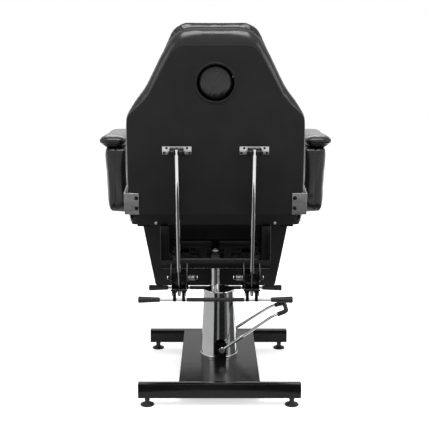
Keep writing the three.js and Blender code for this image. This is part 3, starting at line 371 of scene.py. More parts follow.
# %% Break the edges of a node's copy
def broken_edges(node, width, segments=2):
    bm = bmesh.new()
    bm.from_mesh(frame["nodes"][node].data)
    bmesh.ops.remove_doubles(bm, verts=bm.verts, dist=2e-6)
    bmesh.ops.dissolve_limit(bm, angle_limit=math.radians(1), verts=bm.verts, edges=bm.edges)
    edge = stand_in(node, bm).modifiers.new("broken edge", "BEVEL")
    edge.width = width
    edge.segments = segments
    edge.limit_method = "ANGLE"
    edge.angle_limit = math.radians(30)
    edge.use_clamp_overlap = True


# %% [markdown]
# An upholstered shape starts as rounded outlines, one above the other. Each outline is a few
# corners whose points are bevelled round, and neighbouring outlines are bridged. The ends are
# filled, round the face hole where there is one.

# %% Draw rounded outlines and bridge them
def rounded_ring(bm, corners, depth, cuts=9, arc=7):
    known_edges, known_faces = set(bm.edges), set(bm.faces)
    points = [bm.verts.new((across, up, depth)) for across, up, _ in corners]
    bm.faces.new(points)
    count = len(corners)
    slacks = []
    for i, (across, up, radius) in enumerate(corners):
        here = Vector((across, up))
        before = (Vector(corners[i - 1][:2]) - here).normalized()
        after = (Vector(corners[(i + 1) % count][:2]) - here).normalized()
        slacks.append(radius / math.tan(before.angle(after) / 2))
    for point, slack in zip(points, slacks):
        bevelled(bm, [point], slack, arc, "VERTICES", False)
    bmesh.ops.delete(bm, geom=[f for f in bm.faces if f not in known_faces], context="FACES_ONLY")
    edges = [e for e in bm.edges if e not in known_edges]
    edges.sort(key=lambda e: -e.calc_length())
    bmesh.ops.subdivide_edges(bm, edges=edges[:count], cuts=cuts)
    return [e for e in bm.edges if e not in known_edges]


def round_ring(bm, centre_up, radius, depth, segments=48):
    known = set(bm.edges)
    place = Matrix.Translation((0, centre_up, depth))
    bmesh.ops.create_circle(bm, cap_ends=False, radius=radius, segments=segments, matrix=place)
    return [e for e in bm.edges if e not in known]


def bridged(bm, rings):
    for lower, upper in zip(rings, rings[1:]):
        bmesh.ops.bridge_loops(bm, edges=lower + upper)


def filled(bm, edges):
    bmesh.ops.triangle_fill(bm, use_beauty=True, use_dissolve=False, edges=edges)


def closed_up(bm, rings):
    """Bridges the outlines and fills the first and the last."""
    bridged(bm, rings)
    filled(bm, rings[0])
    filled(bm, rings[-1])


def between(first, second, share):
    return [
        tuple(a + (b - a) * share for a, b in zip(one, other)) for one, other in zip(first, second)
    ]


def drawn_in(corners, inset):
    """The same outline, smaller all round."""
    lows = min(up for _, up, _ in corners)
    highs = max(up for _, up, _ in corners)
    moved = []
    for across, up, radius in corners:
        across -= math.copysign(inset, across)
        up += inset if up == lows else -inset if up == highs else 0
        moved.append((across, up, max(radius - inset, 6 * mm)))
    return moved


# %% [markdown]
# Foam under vinyl pushes the cover out until it pulls tight. The cloth tool does the same: the
# shape is remeshed evenly, held where it rests or is stapled, and blown up a little. No point
# may go further than a cap, so the cushion stays inside its place.

# %% Fill a cushion
def fill_cushion(piece, held, cap, cell, pressure=4.0):
    even = piece.modifiers.new("even", "REMESH")
    even.mode = "VOXEL"
    even.voxel_size = cell
    settle(piece)
    mesh = piece.data
    start = [v.co.copy() for v in mesh.vertices]
    group = piece.vertex_groups.new(name="held")
    group.add([v.index for v in mesh.vertices if held(v.co)], 1.0, "REPLACE")
    cloth = piece.modifiers.new("filling", "CLOTH")
    cloth.settings.quality = 4
    cloth.settings.use_pressure = True
    cloth.settings.uniform_pressure_force = pressure
    cloth.settings.effector_weights.gravity = 0
    cloth.settings.vertex_group_mass = "held"
    cloth.collision_settings.use_collision = False
    for step in range(1, 21):
        scene.frame_set(step)
    shown = piece.evaluated_get(bpy.context.evaluated_depsgraph_get())
    end = [v.co.copy() for v in shown.data.vertices]
    piece.modifiers.clear()
    scene.frame_set(1)
    furthest = 0
    for vertex, before, after in zip(mesh.vertices, start, end):
        move = after - before
        if move.length > cap:
            move *= cap / move.length
        furthest = max(furthest, move.length)
        vertex.co = before + move
    mesh.shade_smooth()
    print(f"{piece.name}: {len(mesh.vertices)} points, moved up to {furthest * 1000:.1f} mm")


def ease(piece):
    """Evens out the points once after the filling."""
    bm = bmesh.new()
    bm.from_mesh(piece.data)
    bmesh.ops.smooth_vert(
        bm, verts=bm.verts, factor=0.5, use_axis_x=True, use_axis_y=True, use_axis_z=True,
    )
    bm.to_mesh(piece.data)
    bm.free()


def one_finer(piece):
    finer = piece.modifiers.new("finer", "SUBSURF")
    finer.levels = finer.render_levels = 1


# %% [markdown]
# A welt is a thin cord of vinyl sewn into a seam. It follows an outline, and each point of the
# outline is dropped onto the finished cushion from outside, so that the welt lies in its seam.

# %% Lay a welt or bend a bar along points
def bar_along(name, points, radius, finish, body, closed=False, stands_for=()):
    data = bpy.data.curves.new(name, "CURVE")
    data.dimensions = "3D"
    data.bevel_depth = radius
    data.bevel_resolution = 6
    data.use_fill_caps = True
    run = data.splines.new("POLY")
    run.points.add(len(points) - 1)
    for spot, point in zip(run.points, points):
        spot.co = (*point, 1)
    run.use_cyclic_u = closed
    curve = add_object(name, data)
    shown = curve.evaluated_get(bpy.context.evaluated_depsgraph_get())
    bm = bmesh.new()
    bm.from_mesh(shown.to_mesh())
    bpy.data.objects.remove(curve)
    bmesh.ops.remove_doubles(bm, verts=bm.verts, dist=1e-6)
    bmesh.ops.recalc_face_normals(bm, faces=bm.faces)
    return make_piece(name, bm, finish, body, stands_for)


def ring_points(corners, depth, matrix, cuts):
    """The points of a rounded outline in order, stood up."""
    bm = bmesh.new()
    rounded_ring(bm, corners, depth, cuts)
    start = vert = bm.verts[:][0]
    came, points = None, []
    while True:
        points.append(matrix @ vert.co)
        edge = next(e for e in vert.link_edges if e is not came)
        vert, came = edge.other_vert(vert), edge
        if vert is start:
            break
    bm.free()
    return points


def dropped_on(piece, points, middle):
    """The points where rays from outside land on the piece, sunk in a little."""
    reach, sink = 60 * mm, 0.2 * mm
    tree = BVHTree.FromObject(piece, bpy.context.evaluated_depsgraph_get())
    landed = []
    for point in points:
        inward = (middle - point).normalized()
        hit = tree.ray_cast(point - inward * reach, inward)[0]
        landed.append((hit or point) + inward * sink)
    return landed


# %% [markdown]
# The back is one boxed cushion on a board. From behind, its sloping side shows as a band
# above the board, with a seam and the proud front layer beyond it. It is drawn as outlines that
# grow from the board's outline to the cushion's, with the face hole through it.

# %% Back cushion
back_low, back_seam, back_face = -51.7 * mm, -8 * mm, 28.5 * mm


def both_sides(right):
    """An outline from its right half, in metres, anticlockwise from the lower left."""
    left = [(-across, up, radius) for across, up, radius in reversed(right)]
    return [tuple(n * mm for n in corner) for corner in [left[-1], *right, *left[:-1]]]


panel_corners = both_sides([(287.5, 0, 24), (284, 333, 45), (219, 389, 150), (126, 559, 56)])
pad_corners = both_sides([(293, 0, 30), (295, 322, 45), (223.5, 425, 190), (131, 614, 56)])
hole_up, hole_radius, sleeve_radius = 440 * mm, 64.5 * mm, 56.8 * mm

bm = bmesh.new()
shares = [
    (-51.7, 0), (-49.5, 0.14), (-45, 0.32), (-38, 0.5), (-30, 0.64), (-22, 0.72), (-14, 0.74),
]
insets = [
    (-8, 19), (-5, 9), (-1, 1), (5, -4), (12, -6), (18, -4), (23, 3), (26.5, 12), (28.5, 26),
]
outer = [
    rounded_ring(bm, between(panel_corners, pad_corners, share), depth * mm)
    for depth, share in shares
]
outer += [
    rounded_ring(bm, drawn_in(pad_corners, inset * mm), depth * mm) for depth, inset in insets
]
bridged(bm, outer)
inner = [
    round_ring(bm, hole_up, hole_radius, back_low),
    round_ring(bm, hole_up, hole_radius, -28 * mm),
    round_ring(bm, hole_up, sleeve_radius, -27 * mm),
    round_ring(bm, hole_up, sleeve_radius, back_face),
]
bridged(bm, inner)
filled(bm, outer[0] + inner[0])
filled(bm, outer[-1] + inner[-1])
stand_up(bm, at_back @ from_behind)
back_cushion = stand_in("back_cushion", bm, vinyl_foam)

# %% [markdown]
# The cushion is held where it is stapled to the board and round the sleeve of the hole. After
# the filling, the seam pulls a groove into its side, and short folds run into the seam at the
# shoulders, where the cover turns the corner.

# %% Fill the back cushion and pull in its seam
to_back = at_back.inverted()


def back_is_held(point):
    local = to_back @ point
    in_hole = math.hypot(local.x, local.z - hole_up) < 70 * mm
    return local.y < back_low + 3 * mm or in_hole


fill_cushion(back_cushion, back_is_held, 3.5 * mm, 5.5 * mm)
ease(back_cushion)


def groove(distance, width):
    return math.exp(-((distance / width) ** 2))


def pull_back_seam(piece):
    bm = bmesh.new()
    bm.from_mesh(piece.data)
    bm.normal_update()
    middle = Vector((0, 0, 300 * mm))
    for vertex in bm.verts:
        local = to_back @ vertex.co
        outward = Vector((local.x, 0, local.z)) - middle
        if math.hypot(local.x, local.z - hole_up) < 75 * mm or abs(local.y - back_seam) > 30 * mm:
            continue
        normal = to_back.to_3x3() @ vertex.normal
        if normal.dot(outward.normalized()) < 0.3:
            continue
        depth = 2.4 * mm * groove(local.y - back_seam, 3.5 * mm)
        run = local.x + 0.6 * local.z
        shoulder = groove(abs(local.x) - 250 * mm, 60 * mm) * (local.z > 250 * mm)
        top = groove(abs(local.x) - 140 * mm, 50 * mm) * (local.z > 500 * mm)
        near_seam = groove(local.y - back_seam, 20 * mm)
        fold = 0.9 * mm * max(shoulder, top) * math.sin(run / (2.6 * mm)) * near_seam
        local -= normal * (depth + fold)
        vertex.co = at_back @ local
    bm.to_mesh(piece.data)
    bm.free()
    piece.data.shade_smooth()


pull_back_seam(back_cushion)
one_finer(back_cushion)
seam_points = ring_points(pad_corners, back_seam, at_back @ from_behind, 24)
seam_middle = at_back @ Vector((0, back_seam, 300 * mm))
bar_along(
    "back_cushion_welt", dropped_on(back_cushion, seam_points, seam_middle), 1.5 * mm,
    vinyl_welt, "backrest", closed=True,
)

# %% [markdown]
# The board behind the cushion is plywood wrapped in vinyl. The vinyl rounds its edges, so a
# thin light line runs round it. The face hole is cut through and lined with a rolled edge.

# %% Back board and the lining of its hole
def wrapped_board(node, corners, low, high, matrix, hole=None, roll=3.5 * mm):
    bm = bmesh.new()
    outer = [rounded_ring(bm, corners, depth) for depth in (low, high)]
    bridged(bm, outer)
    inner = [[], []]
    if hole:
        inner = [round_ring(bm, *hole, depth, 64) for depth in (low, high)]
        bridged(bm, inner)
    for wide, narrow in zip(outer, inner):
        filled(bm, wide + narrow)
    stand_up(bm, matrix)
    sharp = [e for e in bm.edges if len(e.link_faces) == 2 and e.calc_face_angle() > 1.2]
    bevelled(bm, sharp, roll, 4)
    stand_in(node, bm, vinyl_board)


wrapped_board(
    "back_board", panel_corners, -70 * mm, -52 * mm, at_back @ from_behind,
    (hole_up, hole_radius),
)
in_hole_middle = at_back @ Matrix.Translation((0, 0, hole_up)) @ along_y
lining = [(hole_radius / mm + beyond, depth) for beyond, depth in (
    (2.5, -70.2), (1, -71.6), (-2, -72.2), (-4.6, -71), (-5.6, -68), (-5.2, -60), (-4, -30),
    (-0.6, -29), (-0.6, -69.5), (2.5, -70.2),
)]
bm = bmesh.new()
spun(bm, lining, in_hole_middle, 72)
make_piece("face_hole_lining", bm, vinyl_board, "backrest")

# %% [markdown]
# The plug of the face hole is a round stuffed cushion. It is spun from a profile, given more
# rings, and pressed into soft diagonal folds, as vinyl does when it is buttoned over foam.

# %% Face plug
bm = bmesh.new()
plug = [
    (0, -67), (18, -66.8), (36, -65.6), (46, -63.4), (52, -59.6), (55, -54), (56.2, -46),
    (56.2, -14), (56.2, 10), (55, 20), (51, 27), (44, 31), (30, 33), (14, 34), (0, 34),
]
spun(bm, plug, in_hole_middle, 96)
long_edges = [e for e in bm.edges if e.calc_length() > 6 * mm]
bmesh.ops.subdivide_edges(bm, edges=long_edges, cuts=2, use_grid_fill=True)
bmesh.ops.triangulate(bm, faces=[f for f in bm.faces if len(f.verts) > 4])
to_plug = in_hole_middle.inverted()
for vertex in bm.verts:
    local = to_plug @ vertex.co
    if abs(local.z) < 15 * mm:
        continue
    across = (local.x * 0.8 + local.y * 0.6) / mm
    wander = noise.noise(local * 30) * 9
    fade = max(0.0, 1 - (math.hypot(local.x, local.y) / (54 * mm)) ** 2)
    fold = math.sin((across + wander) / 5.2) + 0.5 * noise.noise(local * 80)
    local.z += math.copysign(1.3 * mm * fade * fold, -local.z)
    if local.z < 0:
        local.x -= 1.1 * mm
        local.z -= 0.02 * local.x
    vertex.co = in_hole_middle @ local
bmesh.ops.recalc_face_normals(bm, faces=bm.faces)
face_plug = stand_in("face_plug", bm, vinyl_foam, 80)

# %% [markdown]
# Bent steel plates hold the back and the leg rest to their hinges. Each keeps the measured shape
# with its edges broken, and is fixed by screws with domed heads. The rods hang in brackets: a
# plate with four small screws, bright zinc on the back and black paint on the leg rest, and two
# dark ears round the pin.

# %% Hinge plates and their screws
for part in ("back", "leg"):
    for hand, _ in hands:
        broken_edges(f"{part}_hinge_plate_{hand}", 0.7 * mm)


def screw_set(name, spots, face, matrix, body, radius, height):
    """Screws on a face that looks to the rear. All sizes and places are in millimetres."""
    bm = bmesh.new()
    for across, up in spots:
        spot = Matrix.Translation((across * mm, face * mm, up * mm))
        dome_head(bm, radius, height, matrix @ spot @ backwards)
    make_piece(name, bm, paint, body)


for hand, side in hands:
    for part, across, ups, face, matrix, body, radius in (
        ("back", 261, (24, 59), -73.3, at_back, "backrest", 7),
        ("leg", 265, (-96, -117), -39.3, at_leg, "leg_rest", 6),
    ):
        spots = [(side * across, up) for up in ups]
        screw_set(f"{part}_hinge_screws_{hand}", spots, face, matrix, body, radius, 4)

# %% [markdown]
# Two parts are drawn often from here on: a block of sheet with broken edges, and a flat bar
# with round ends. The brackets are made of them.

# %% Rod brackets
def sheet_block(bm, size, matrix, edge):
    """A block of sheet, standing up straight before it is placed, with its edges broken."""
    part = bmesh.new()
    bmesh.ops.create_cube(part, size=1, matrix=Matrix.Diagonal((*size, 1)))
    bevelled(part, part.edges[:], edge)
    add_part(bm, part, matrix)


def rounded_bar(bm, thick, radius, first, last, across, matrix):
    """A flat bar with round ends across the chair's side, between two points (y, z)."""
    part = bmesh.new()
    run = math.hypot(last[0] - first[0], last[1] - first[1])
    size = Matrix.Diagonal((thick, 2 * radius, run + 2 * radius, 1))
    bmesh.ops.create_cube(part, size=1, matrix=size)
    corners = [e for e in part.edges if abs((e.verts[0].co - e.verts[1].co).x) > thick / 2]
    bevelled(part, corners, radius * 0.98, 8)
    lean = math.atan2(last[0] - first[0], last[1] - first[1])
    middle = (across, (first[0] + last[0]) / 2, (first[1] + last[1]) / 2)
    add_part(bm, part, matrix @ Matrix.Translation(middle) @ Matrix.Rotation(-lean, 4, "X"))


bracket_bolt = [
    (0, -26), (5, -26), (6.4, -25), (6.4, -22.6), (4, -22.5), (4, 22.5), (6.4, 22.6),
    (6.4, 25), (5, 26), (0, 26),
]
collar = [(4.2, 0), (9, 0), (9.8, 0.8), (9.8, 11.5), (9, 12.3), (4.2, 12.3), (4.2, 0)]
for part, matrix, body, rear, finish in (
    ("back", at_back, "backrest", -70.3, zinc), ("leg", at_leg, "leg_rest", -36.3, paint),
):
    pin = matrix.inverted() @ joint_at[f"{part}_rod_pins"]
    for hand, side in hands:
        middle_x = side * rod_x
        bm = bmesh.new()
        place = matrix @ Matrix.Translation((middle_x, (rear - 1.5) * mm, pin.z))
        sheet_block(bm, (95 * mm, 3 * mm, 27 * mm), place, 0.7 * mm)
        name, stands_for = f"{part}_bracket_plate_{hand}", [f"{part}_rod_bracket_{hand}"]
        make_piece(name, bm, finish, body, stands_for)
        bm = bmesh.new()
        for offset in (-21 * mm, 21 * mm):
            ear = ((rear - 3.2) * mm - 11 * mm, pin.z), (pin.y, pin.z)
            rounded_bar(bm, 3 * mm, 11 * mm, *ear, middle_x + offset, matrix)
        spot = matrix @ Matrix.Translation((middle_x, pin.y, pin.z)) @ along_x
        spun(bm, bracket_bolt, spot, 24)
        for low in (-19.2, 6.9):
            spun(bm, [(radius, low + height) for radius, height in collar], spot, 32)
        make_piece(f"{part}_bracket_ears_{hand}", bm, paint, body)
        spots = [
            (middle_x / mm + x, pin.z / mm + z) for x, z in ((-33, 8), (33, 8), (-41, -8), (41, -8))
        ]
        screw_set(f"{part}_bracket_screws_{hand}", spots, rear - 3, matrix, body, 4, 2.2)

# %% [markdown]
# A friction rod is polished steel. Its pin holds it between two collars, and its foot has a
# groove. It is one spun profile with a chamfer at each end.

# %% Friction rods
def polished_rod(node, place, side, length):
    radius, top = 6.25, 13
    foot = top - length
    profile = [
        (0, top), (radius - 1.6, top), (radius - 0.5, top - 0.6), (radius, top - 2),
        (radius, foot + 9), (radius - 0.9, foot + 8.6), (radius - 0.9, foot + 6.6),
        (radius, foot + 6.2), (radius, foot + 1.5), (radius - 1.2, foot), (0, foot),
    ]
    spun_node(node, profile, place @ Matrix.Translation((side * rod_x, 0, 0)), 32, chrome)


for hand, side in hands:
    polished_rod(f"back_rod_{hand}", at_back_rod, side, 543)
    polished_rod(f"leg_rod_{hand}", at_leg_rod, side, 359)

# %% [markdown]
# Each clamp is a pressed channel with a steel block that grips the rod, hung on two trunnions.
# The two behind the back are drawn anew, open to the rear, in black paint instead of the
# clamps' zinc: the black is painted shade for the shaded inside of the channel. The front two
# keep their measured shape. Washers and dome nuts sit on the trunnions, and a coil spring on the
# rear ones.

# %% Clamps, their nuts and springs
def helix(bm, radius, wire, low, high, turns, place):
    part = bmesh.new()
    circle_place = Matrix.Translation((radius, 0, low)) @ backwards
    bmesh.ops.create_circle(part, cap_ends=False, radius=wire, segments=8, matrix=circle_place)
    steps = turns * 20
    bmesh.ops.spin(
        part, geom=part.verts[:] + part.edges[:], cent=(0, 0, 0), axis=(0, 0, 1),
        dvec=(0, 0, (high - low) / steps), angle=2 * math.pi * turns, steps=steps,
        use_merge=False, use_duplicate=False,
    )
    ends = [e for e in part.edges if e.is_boundary]
    bmesh.ops.holes_fill(part, edges=ends, sides=0)
    add_part(bm, part, place)


def trunnion_nut(bm, out, place, side):
    """A hexagon nut with a rounded face and the end of the trunnion in it."""
    profile = [(0, 2.6), (4.4, 2.4), (5.4, 1.6), (5.4, 0.8), (8.2, 0.8), (9, 0.2), (9, 0), (0, 0)]
    spun(bm, profile, place @ Matrix.Translation((out, 0, 0)) @ outwards(side), 6)


def channel(bm, low, place, across):
    """A channel open to the rear with cheeks beside the rod and a web at the front."""
    def block(size, x, y, z):
        spot = Matrix.Translation((across + x * mm, y * mm, z * mm))
        sheet_block(bm, [n * mm for n in size], place @ spot, 0.8 * mm)

    for hand in (-1, 1):
        block((3, 36, 13 - low), hand * 23.5, -2, (13 + low) / 2)
        block((14.4, 14, 40), hand * 15, 3.5, -11)
        block((14.4, 10, -31 - low), hand * 15, 8, (low - 31) / 2)
    block((44.4, 3, -36 - low), 0, 14.4, (low - 36) / 2)
    for start, end in ((25, 38), (-62, -25)):
        stub = [(0, start), (6, start), (6, end), (0, end)]
        spun(bm, stub, place @ Matrix.Translation((across, 0, 0)) @ outwards(across), 24)


clamp_foot = -64
for part, place, finish, slot in (
    ("back", at_back_clamp, zinc, "zinc_steel"), ("leg", at_leg_clamp, paint, "black_paint"),
):
    body = f"{part}_clamps"
    for hand, side in hands:
        node = f"{part}_clamp_{hand}"
        if part == "back":
            bm = bmesh.new()
            channel(bm, clamp_foot, place, side * rod_x)
            # The back channel's black paint is painted shade: it stands for the shade inside the
            # zinc clamp.
            make_piece(f"back_clamp_shown_{hand}", bm, paint, body, [node])
        else:
            broken_edges(node, 0.6 * mm)
        bm = bmesh.new()
        trunnion_nut(bm, side * (rod_x + 38 * mm), place, side)
        trunnion_nut(bm, side * (rod_x - 62 * mm), place, -side)
        make_piece(f"{part}_clamp_nuts_{hand}", bm, finish, body)
wire = 1.1 * mm
for hand, side in hands:
    node = f"back_clamp_spring_{hand}"
    inner, outer = sorted(abs(corner.x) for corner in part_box(node))
    bm = bmesh.new()
    turned = at_back_clamp @ outwards(side)
    helix(bm, 8.8 * mm, wire, inner + wire, outer - wire, 5, turned)
    stand_in(node, bm, zinc)

# %% [markdown]
# A release lever is one bar across both clamps, with two black arms at each clamp, a plastic
# sleeve in the middle and a tapered grip at each end. The arms are thick and black. Beside the rods
# their black is also painted shade, standing for the shaded inside of the channel. The grips are
# spun with a rounded nose and shallow finger rings.

# %% Release levers and grips
def lever_grip(node, half, bar_y, bar_z, place, side):
    profile = [(5.3, 0), (7.4, 0), (8, 0.8)]
    for k in range(5):
        at = 8 + 11 * k
        wide = 8 + 3.5 * at / 71
        profile += [(wide, at), (wide + 0.35, at + 2.5), (wide + 0.35, at + 5), (wide, at + 7.5)]
    profile += [
        (11.4, 68), (11.5, 71), (10.6, 73.6), (8, 75), (0, 75.2), (0, 71.3), (5.3, 71.3), (5.3, 0),
    ]
    spot = Matrix.Translation((side * (half - 75) * mm, bar_y, bar_z))
    spun_node(node, profile, place @ spot @ outwards(side), 32, rubber)


def lever_bar(part, half, bar_y, bar_z, pin_y, place):
    body = f"{part}_lever"
    bar_place = place @ Matrix.Translation((0, bar_y, bar_z)) @ along_x
    end = half - 4
    bar = [(0, -end), (4.2, -end), (5, -end + 0.8), (5, end - 0.8), (4.2, end), (0, end)]
    spun_node(f"{part}_lever_bar", bar, bar_place, 28, zinc)
    pin_z = bar_z + 34 * mm
    bm = bmesh.new()
    for side in (-1, 1):
        for offset in (-15.5 * mm, 15.5 * mm):
            ends = (bar_y, bar_z), (pin_y, pin_z)
            rounded_bar(bm, 11 * mm, 7 * mm, *ends, side * rod_x + offset, place)
        pin = [(0, -29), (2.4, -29), (3, -28.4), (3, 28.4), (2.4, 29), (0, 29)]
        spot = place @ Matrix.Translation((side * rod_x, pin_y, pin_z)) @ along_x
        spun(bm, pin, spot, 20)
    # The arms' black paint is also painted shade beside the rods, for the shaded inside of the
    # channel.
    make_piece(f"{part}_lever_arms", bm, paint, body)
    sleeve = [(5.1, -99), (6.6, -99), (7.1, -98), (7.1, 98), (6.6, 99), (5.1, 99), (5.1, -99)]
    bm = bmesh.new()
    spun(bm, sleeve, bar_place, 28)
    make_piece(f"{part}_lever_sleeve", bm, rubber, body)


levers = (
    ("back", 266, -20 * mm, -76 * mm, -15 * mm, at_back_clamp),
    ("leg", 257, 0, -130 * mm, 0, at_leg_clamp),
)
for lever in levers:
    lever_bar(*lever)
for hand, side in hands:
    for part, half, bar_y, bar_z, _, place in levers:
        lever_grip(f"{part}_lever_grip_{hand}", half, bar_y, bar_z, place, side)

# %% [markdown]
# The seat is a thick foam cushion on a wrapped board. The board's corners and edges are
# rounded by the wrap. The cushion is a boxed form that is filled like the back, with a seam and
# a welt round its upper edge.

# %% Seat board and seat cushion
board_low, board_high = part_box("seat_board")
seat_low, seat_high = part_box("seat_cushion")
seat_half = 292 * mm


def seat_outline(rear, front, half, radius):
    corners = (-half, rear), (half, rear), (half, front), (-half, front)
    return [(across, up, radius) for across, up in corners]


wrapped_board(
    "seat_board", seat_outline(board_low.y, board_high.y, seat_half, 26 * mm),
    board_low.z, board_high.z, from_above, roll=4 * mm,
)
seat_seam = seat_low.z + 50 * mm
seat_corners = seat_outline(seat_low.y, seat_high.y, seat_half, 28 * mm)
bm = bmesh.new()
closed_up(bm, [
    rounded_ring(bm, drawn_in(seat_corners, inset * mm), seat_low.z + up * mm)
    for inset, up in ((4, 0), (2, 8), (3, 42), (5, 52), (14, 60), (60, 68))
])
stand_up(bm, from_above)
seat_cushion = stand_in("seat_cushion", bm, vinyl_foam)
fill_cushion(seat_cushion, lambda point: point.z < seat_low.z + 3 * mm, 9 * mm, 7 * mm)

# %% [markdown]
# A seam is the same on every boxed cushion: a narrow groove all round at one height. The
# groove is pressed in after the filling, and the welt is laid in it.

# %% Seams and welts
def press_seam(piece, place, height, width, depth):
    """Presses a groove at one depth of the drawing, where the surface looks sideways."""
    back_again = place.inverted()
    bm = bmesh.new()
    bm.from_mesh(piece.data)
    bm.normal_update()
    for vertex in bm.verts:
        local = back_again @ vertex.co
        normal = (back_again.to_3x3() @ vertex.normal).normalized()
        if abs(local.z - height) < 4 * width and math.hypot(normal.x, normal.y) > 0.4:
            vertex.co -= vertex.normal * depth * groove(local.z - height, width)
    bm.to_mesh(piece.data)
    bm.free()
    piece.data.shade_smooth()


def welted(name, piece, corners, height, place, body, radius=1.6 * mm, cuts=20):
    middle_across = sum(c[0] for c in corners) / len(corners)
    middle_up = sum(c[1] for c in corners) / len(corners)
    middle = place @ Vector((middle_across, middle_up, height))
    points = dropped_on(piece, ring_points(corners, height, place, cuts), middle)
    return bar_along(name, points, radius, vinyl_welt, body, closed=True)


press_seam(seat_cushion, from_above, seat_seam, 4 * mm, 3 * mm)
one_finer(seat_cushion)
welted("seat_cushion_welt", seat_cushion, seat_corners, seat_seam, from_above, "seat")

# %% [markdown]
# The leg rest is made as the back is: a wrapped board and a boxed cushion in front of it that
# narrows towards the feet.

# %% Leg rest
leg_place = at_leg @ from_behind
leg_corners = both_sides([(243.5, -386, 18), (293, -78, 24)])
leg_board_corners = drawn_in(leg_corners, 7 * mm)
wrapped_board("leg_board", leg_board_corners, -36 * mm, -18 * mm, leg_place)
leg_low, leg_seam, leg_face = -17.7 * mm, 22 * mm, 50 * mm
bm = bmesh.new()
rings = [rounded_ring(bm, corners, depth) for corners, depth in (
    (leg_board_corners, leg_low),
    (drawn_in(leg_corners, 3 * mm), -8 * mm),
    (drawn_in(leg_corners, 2 * mm), leg_seam),
    (drawn_in(leg_corners, 3 * mm), 38 * mm),
    (drawn_in(leg_corners, 8 * mm), 47 * mm),
    (drawn_in(leg_corners, 18 * mm), leg_face),
)]
closed_up(bm, rings)
stand_up(bm, leg_place)
leg_cushion = stand_in("leg_cushion", bm, vinyl_foam)
to_leg = leg_place.inverted()
fill_cushion(leg_cushion, lambda point: (to_leg @ point).z < leg_low + 3 * mm, 6 * mm, 7 * mm)
ease(leg_cushion)
press_seam(leg_cushion, leg_place, leg_seam, 4 * mm, 3 * mm)
one_finer(leg_cushion)
welted("leg_cushion_welt", leg_cushion, leg_corners, leg_seam, leg_place, "leg_rest")

# %% [markdown]
# An armrest is a padded side panel with two steel hooks that drop into pockets on the seat, and
# a crowned pad on top. From behind, the rounded end of the pad shines and the panel has a seam
# down its rear edge.

# %% Armrests
panel_low, panel_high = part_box("armrest_panel_right")
pad_low, pad_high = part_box("armrest_pad_right")
rear, front, low, high = panel_low.y, panel_high.y, 611 * mm, 841 * mm
arm_inner, arm_outer, arm_seam, arm_lean = 311 * mm, 384 * mm, 350 * mm, 10 * mm
arm_corners = [
    (rear, low, 34 * mm), (front, low, 34 * mm), (front, high, 14 * mm), (rear, high, 14 * mm),
]
pad_inner, pad_outer, pad_round = 309 * mm, 404 * mm, 30 * mm
pad_base, pad_seam = 841.3 * mm, 853 * mm
pad_middle = Vector(((pad_inner + pad_outer) / 2, (pad_low.y + pad_high.y) / 2))


def pad_ring(inset):
    """The pad's outline, drawn in towards its own middle."""
    across = pad_middle.x, 1 - inset / (pad_outer - pad_middle.x)
    along = pad_middle.y, 1 - inset / (pad_high.y - pad_middle.y)
    return [
        (across[0] + (x - across[0]) * across[1], along[0] + (y - along[0]) * along[1],
         pad_round - inset * 0.6)
        for x, y in (
            (pad_inner, pad_low.y), (pad_outer, pad_low.y),
            (pad_outer, pad_high.y), (pad_inner, pad_high.y),
        )
    ]


for hand, side in hands:
    body = f"armrest_{hand}"
    mirror = Matrix.Diagonal((side, 1, 1, 1))
    side_place = mirror @ from_side
    bm = bmesh.new()
    rings = []
    for inset, depth in (
        (6, 311), (1.5, 316), (0.5, 330), (0.5, 362), (2, 374), (8, 381), (30, 384),
    ):
        corners = [
            (across, high if up > (low + high) / 2 else up, radius)
            for across, up, radius in drawn_in(arm_corners, inset * mm)
        ]
        rings.append(rounded_ring(bm, corners, depth * mm))
    closed_up(bm, rings)
    for vertex in bm.verts:
        outward = (vertex.co.z - arm_inner) / (arm_outer - arm_inner)
        vertex.co.z -= arm_lean * outward * (high - vertex.co.y) / (high - low)
    stand_up(bm, side_place)
    panel = stand_in(f"armrest_panel_{hand}", bm, vinyl_foam)
    fill_cushion(
        panel, lambda p: abs(p.x) < arm_inner + 3 * mm or p.z > high - 3 * mm, 3 * mm, 6 * mm,
    )
    ease(panel)
    press_seam(panel, side_place, arm_seam, 3 * mm, 2 * mm)
    one_finer(panel)
    name = f"armrest_panel_welt_{hand}"
    welted(name, panel, arm_corners, arm_seam, side_place, body, 1.2 * mm)

    bm = bmesh.new()
    closed_up(bm, [
        rounded_ring(bm, pad_ring(inset * mm), pad_base + up * mm) for inset, up in (
            (22, 0), (20, 1.5), (15, 6), (10, 10), (4, 15), (-0.5, 20), (-1.5, 24), (0.5, 29),
            (6, 35), (14, 39), (25, 41.5),
        )
    ])
    stand_up(bm, mirror)
    pad = stand_in(f"armrest_pad_{hand}", bm, vinyl_foam)
    fill_cushion(pad, lambda p: p.z < 843.5 * mm, 2.5 * mm, 4.5 * mm)
    ease(pad)
    press_seam(pad, mirror, pad_seam, 2.6 * mm, 2 * mm)
    one_finer(pad)
    name = f"armrest_pad_welt_{hand}"
    welted(name, pad, pad_ring(0), pad_seam, mirror, body, 1.2 * mm, 12)

    bm = bmesh.new()
    for y in (-5.17 * mm, 120.83 * mm):
        for across, up, size in (
            (302, 619, (4 * mm, 44 * mm, 38.4 * mm, 1)),
            (308, 636.3, (16 * mm, 44 * mm, 4 * mm, 1)),
        ):
            spot = Matrix.Translation((side * across * mm, y, up * mm))
            bmesh.ops.create_cube(bm, size=1, matrix=spot @ Matrix.Diagonal(size))
    bevelled(bm, bm.edges[:], 0.6 * mm)
    bmesh.ops.recalc_face_normals(bm, faces=bm.faces)
    make_piece(f"armrest_hooks_{hand}", bm, zinc, body)

# %% [markdown]
# Below the seat is a frame of square tube: two crosses with posts, two sides and a middle bar.
# The welded frame keeps its measured shape with rounded edges, in glossy black paint. Bolts
# hold the seat board and the middle bar.

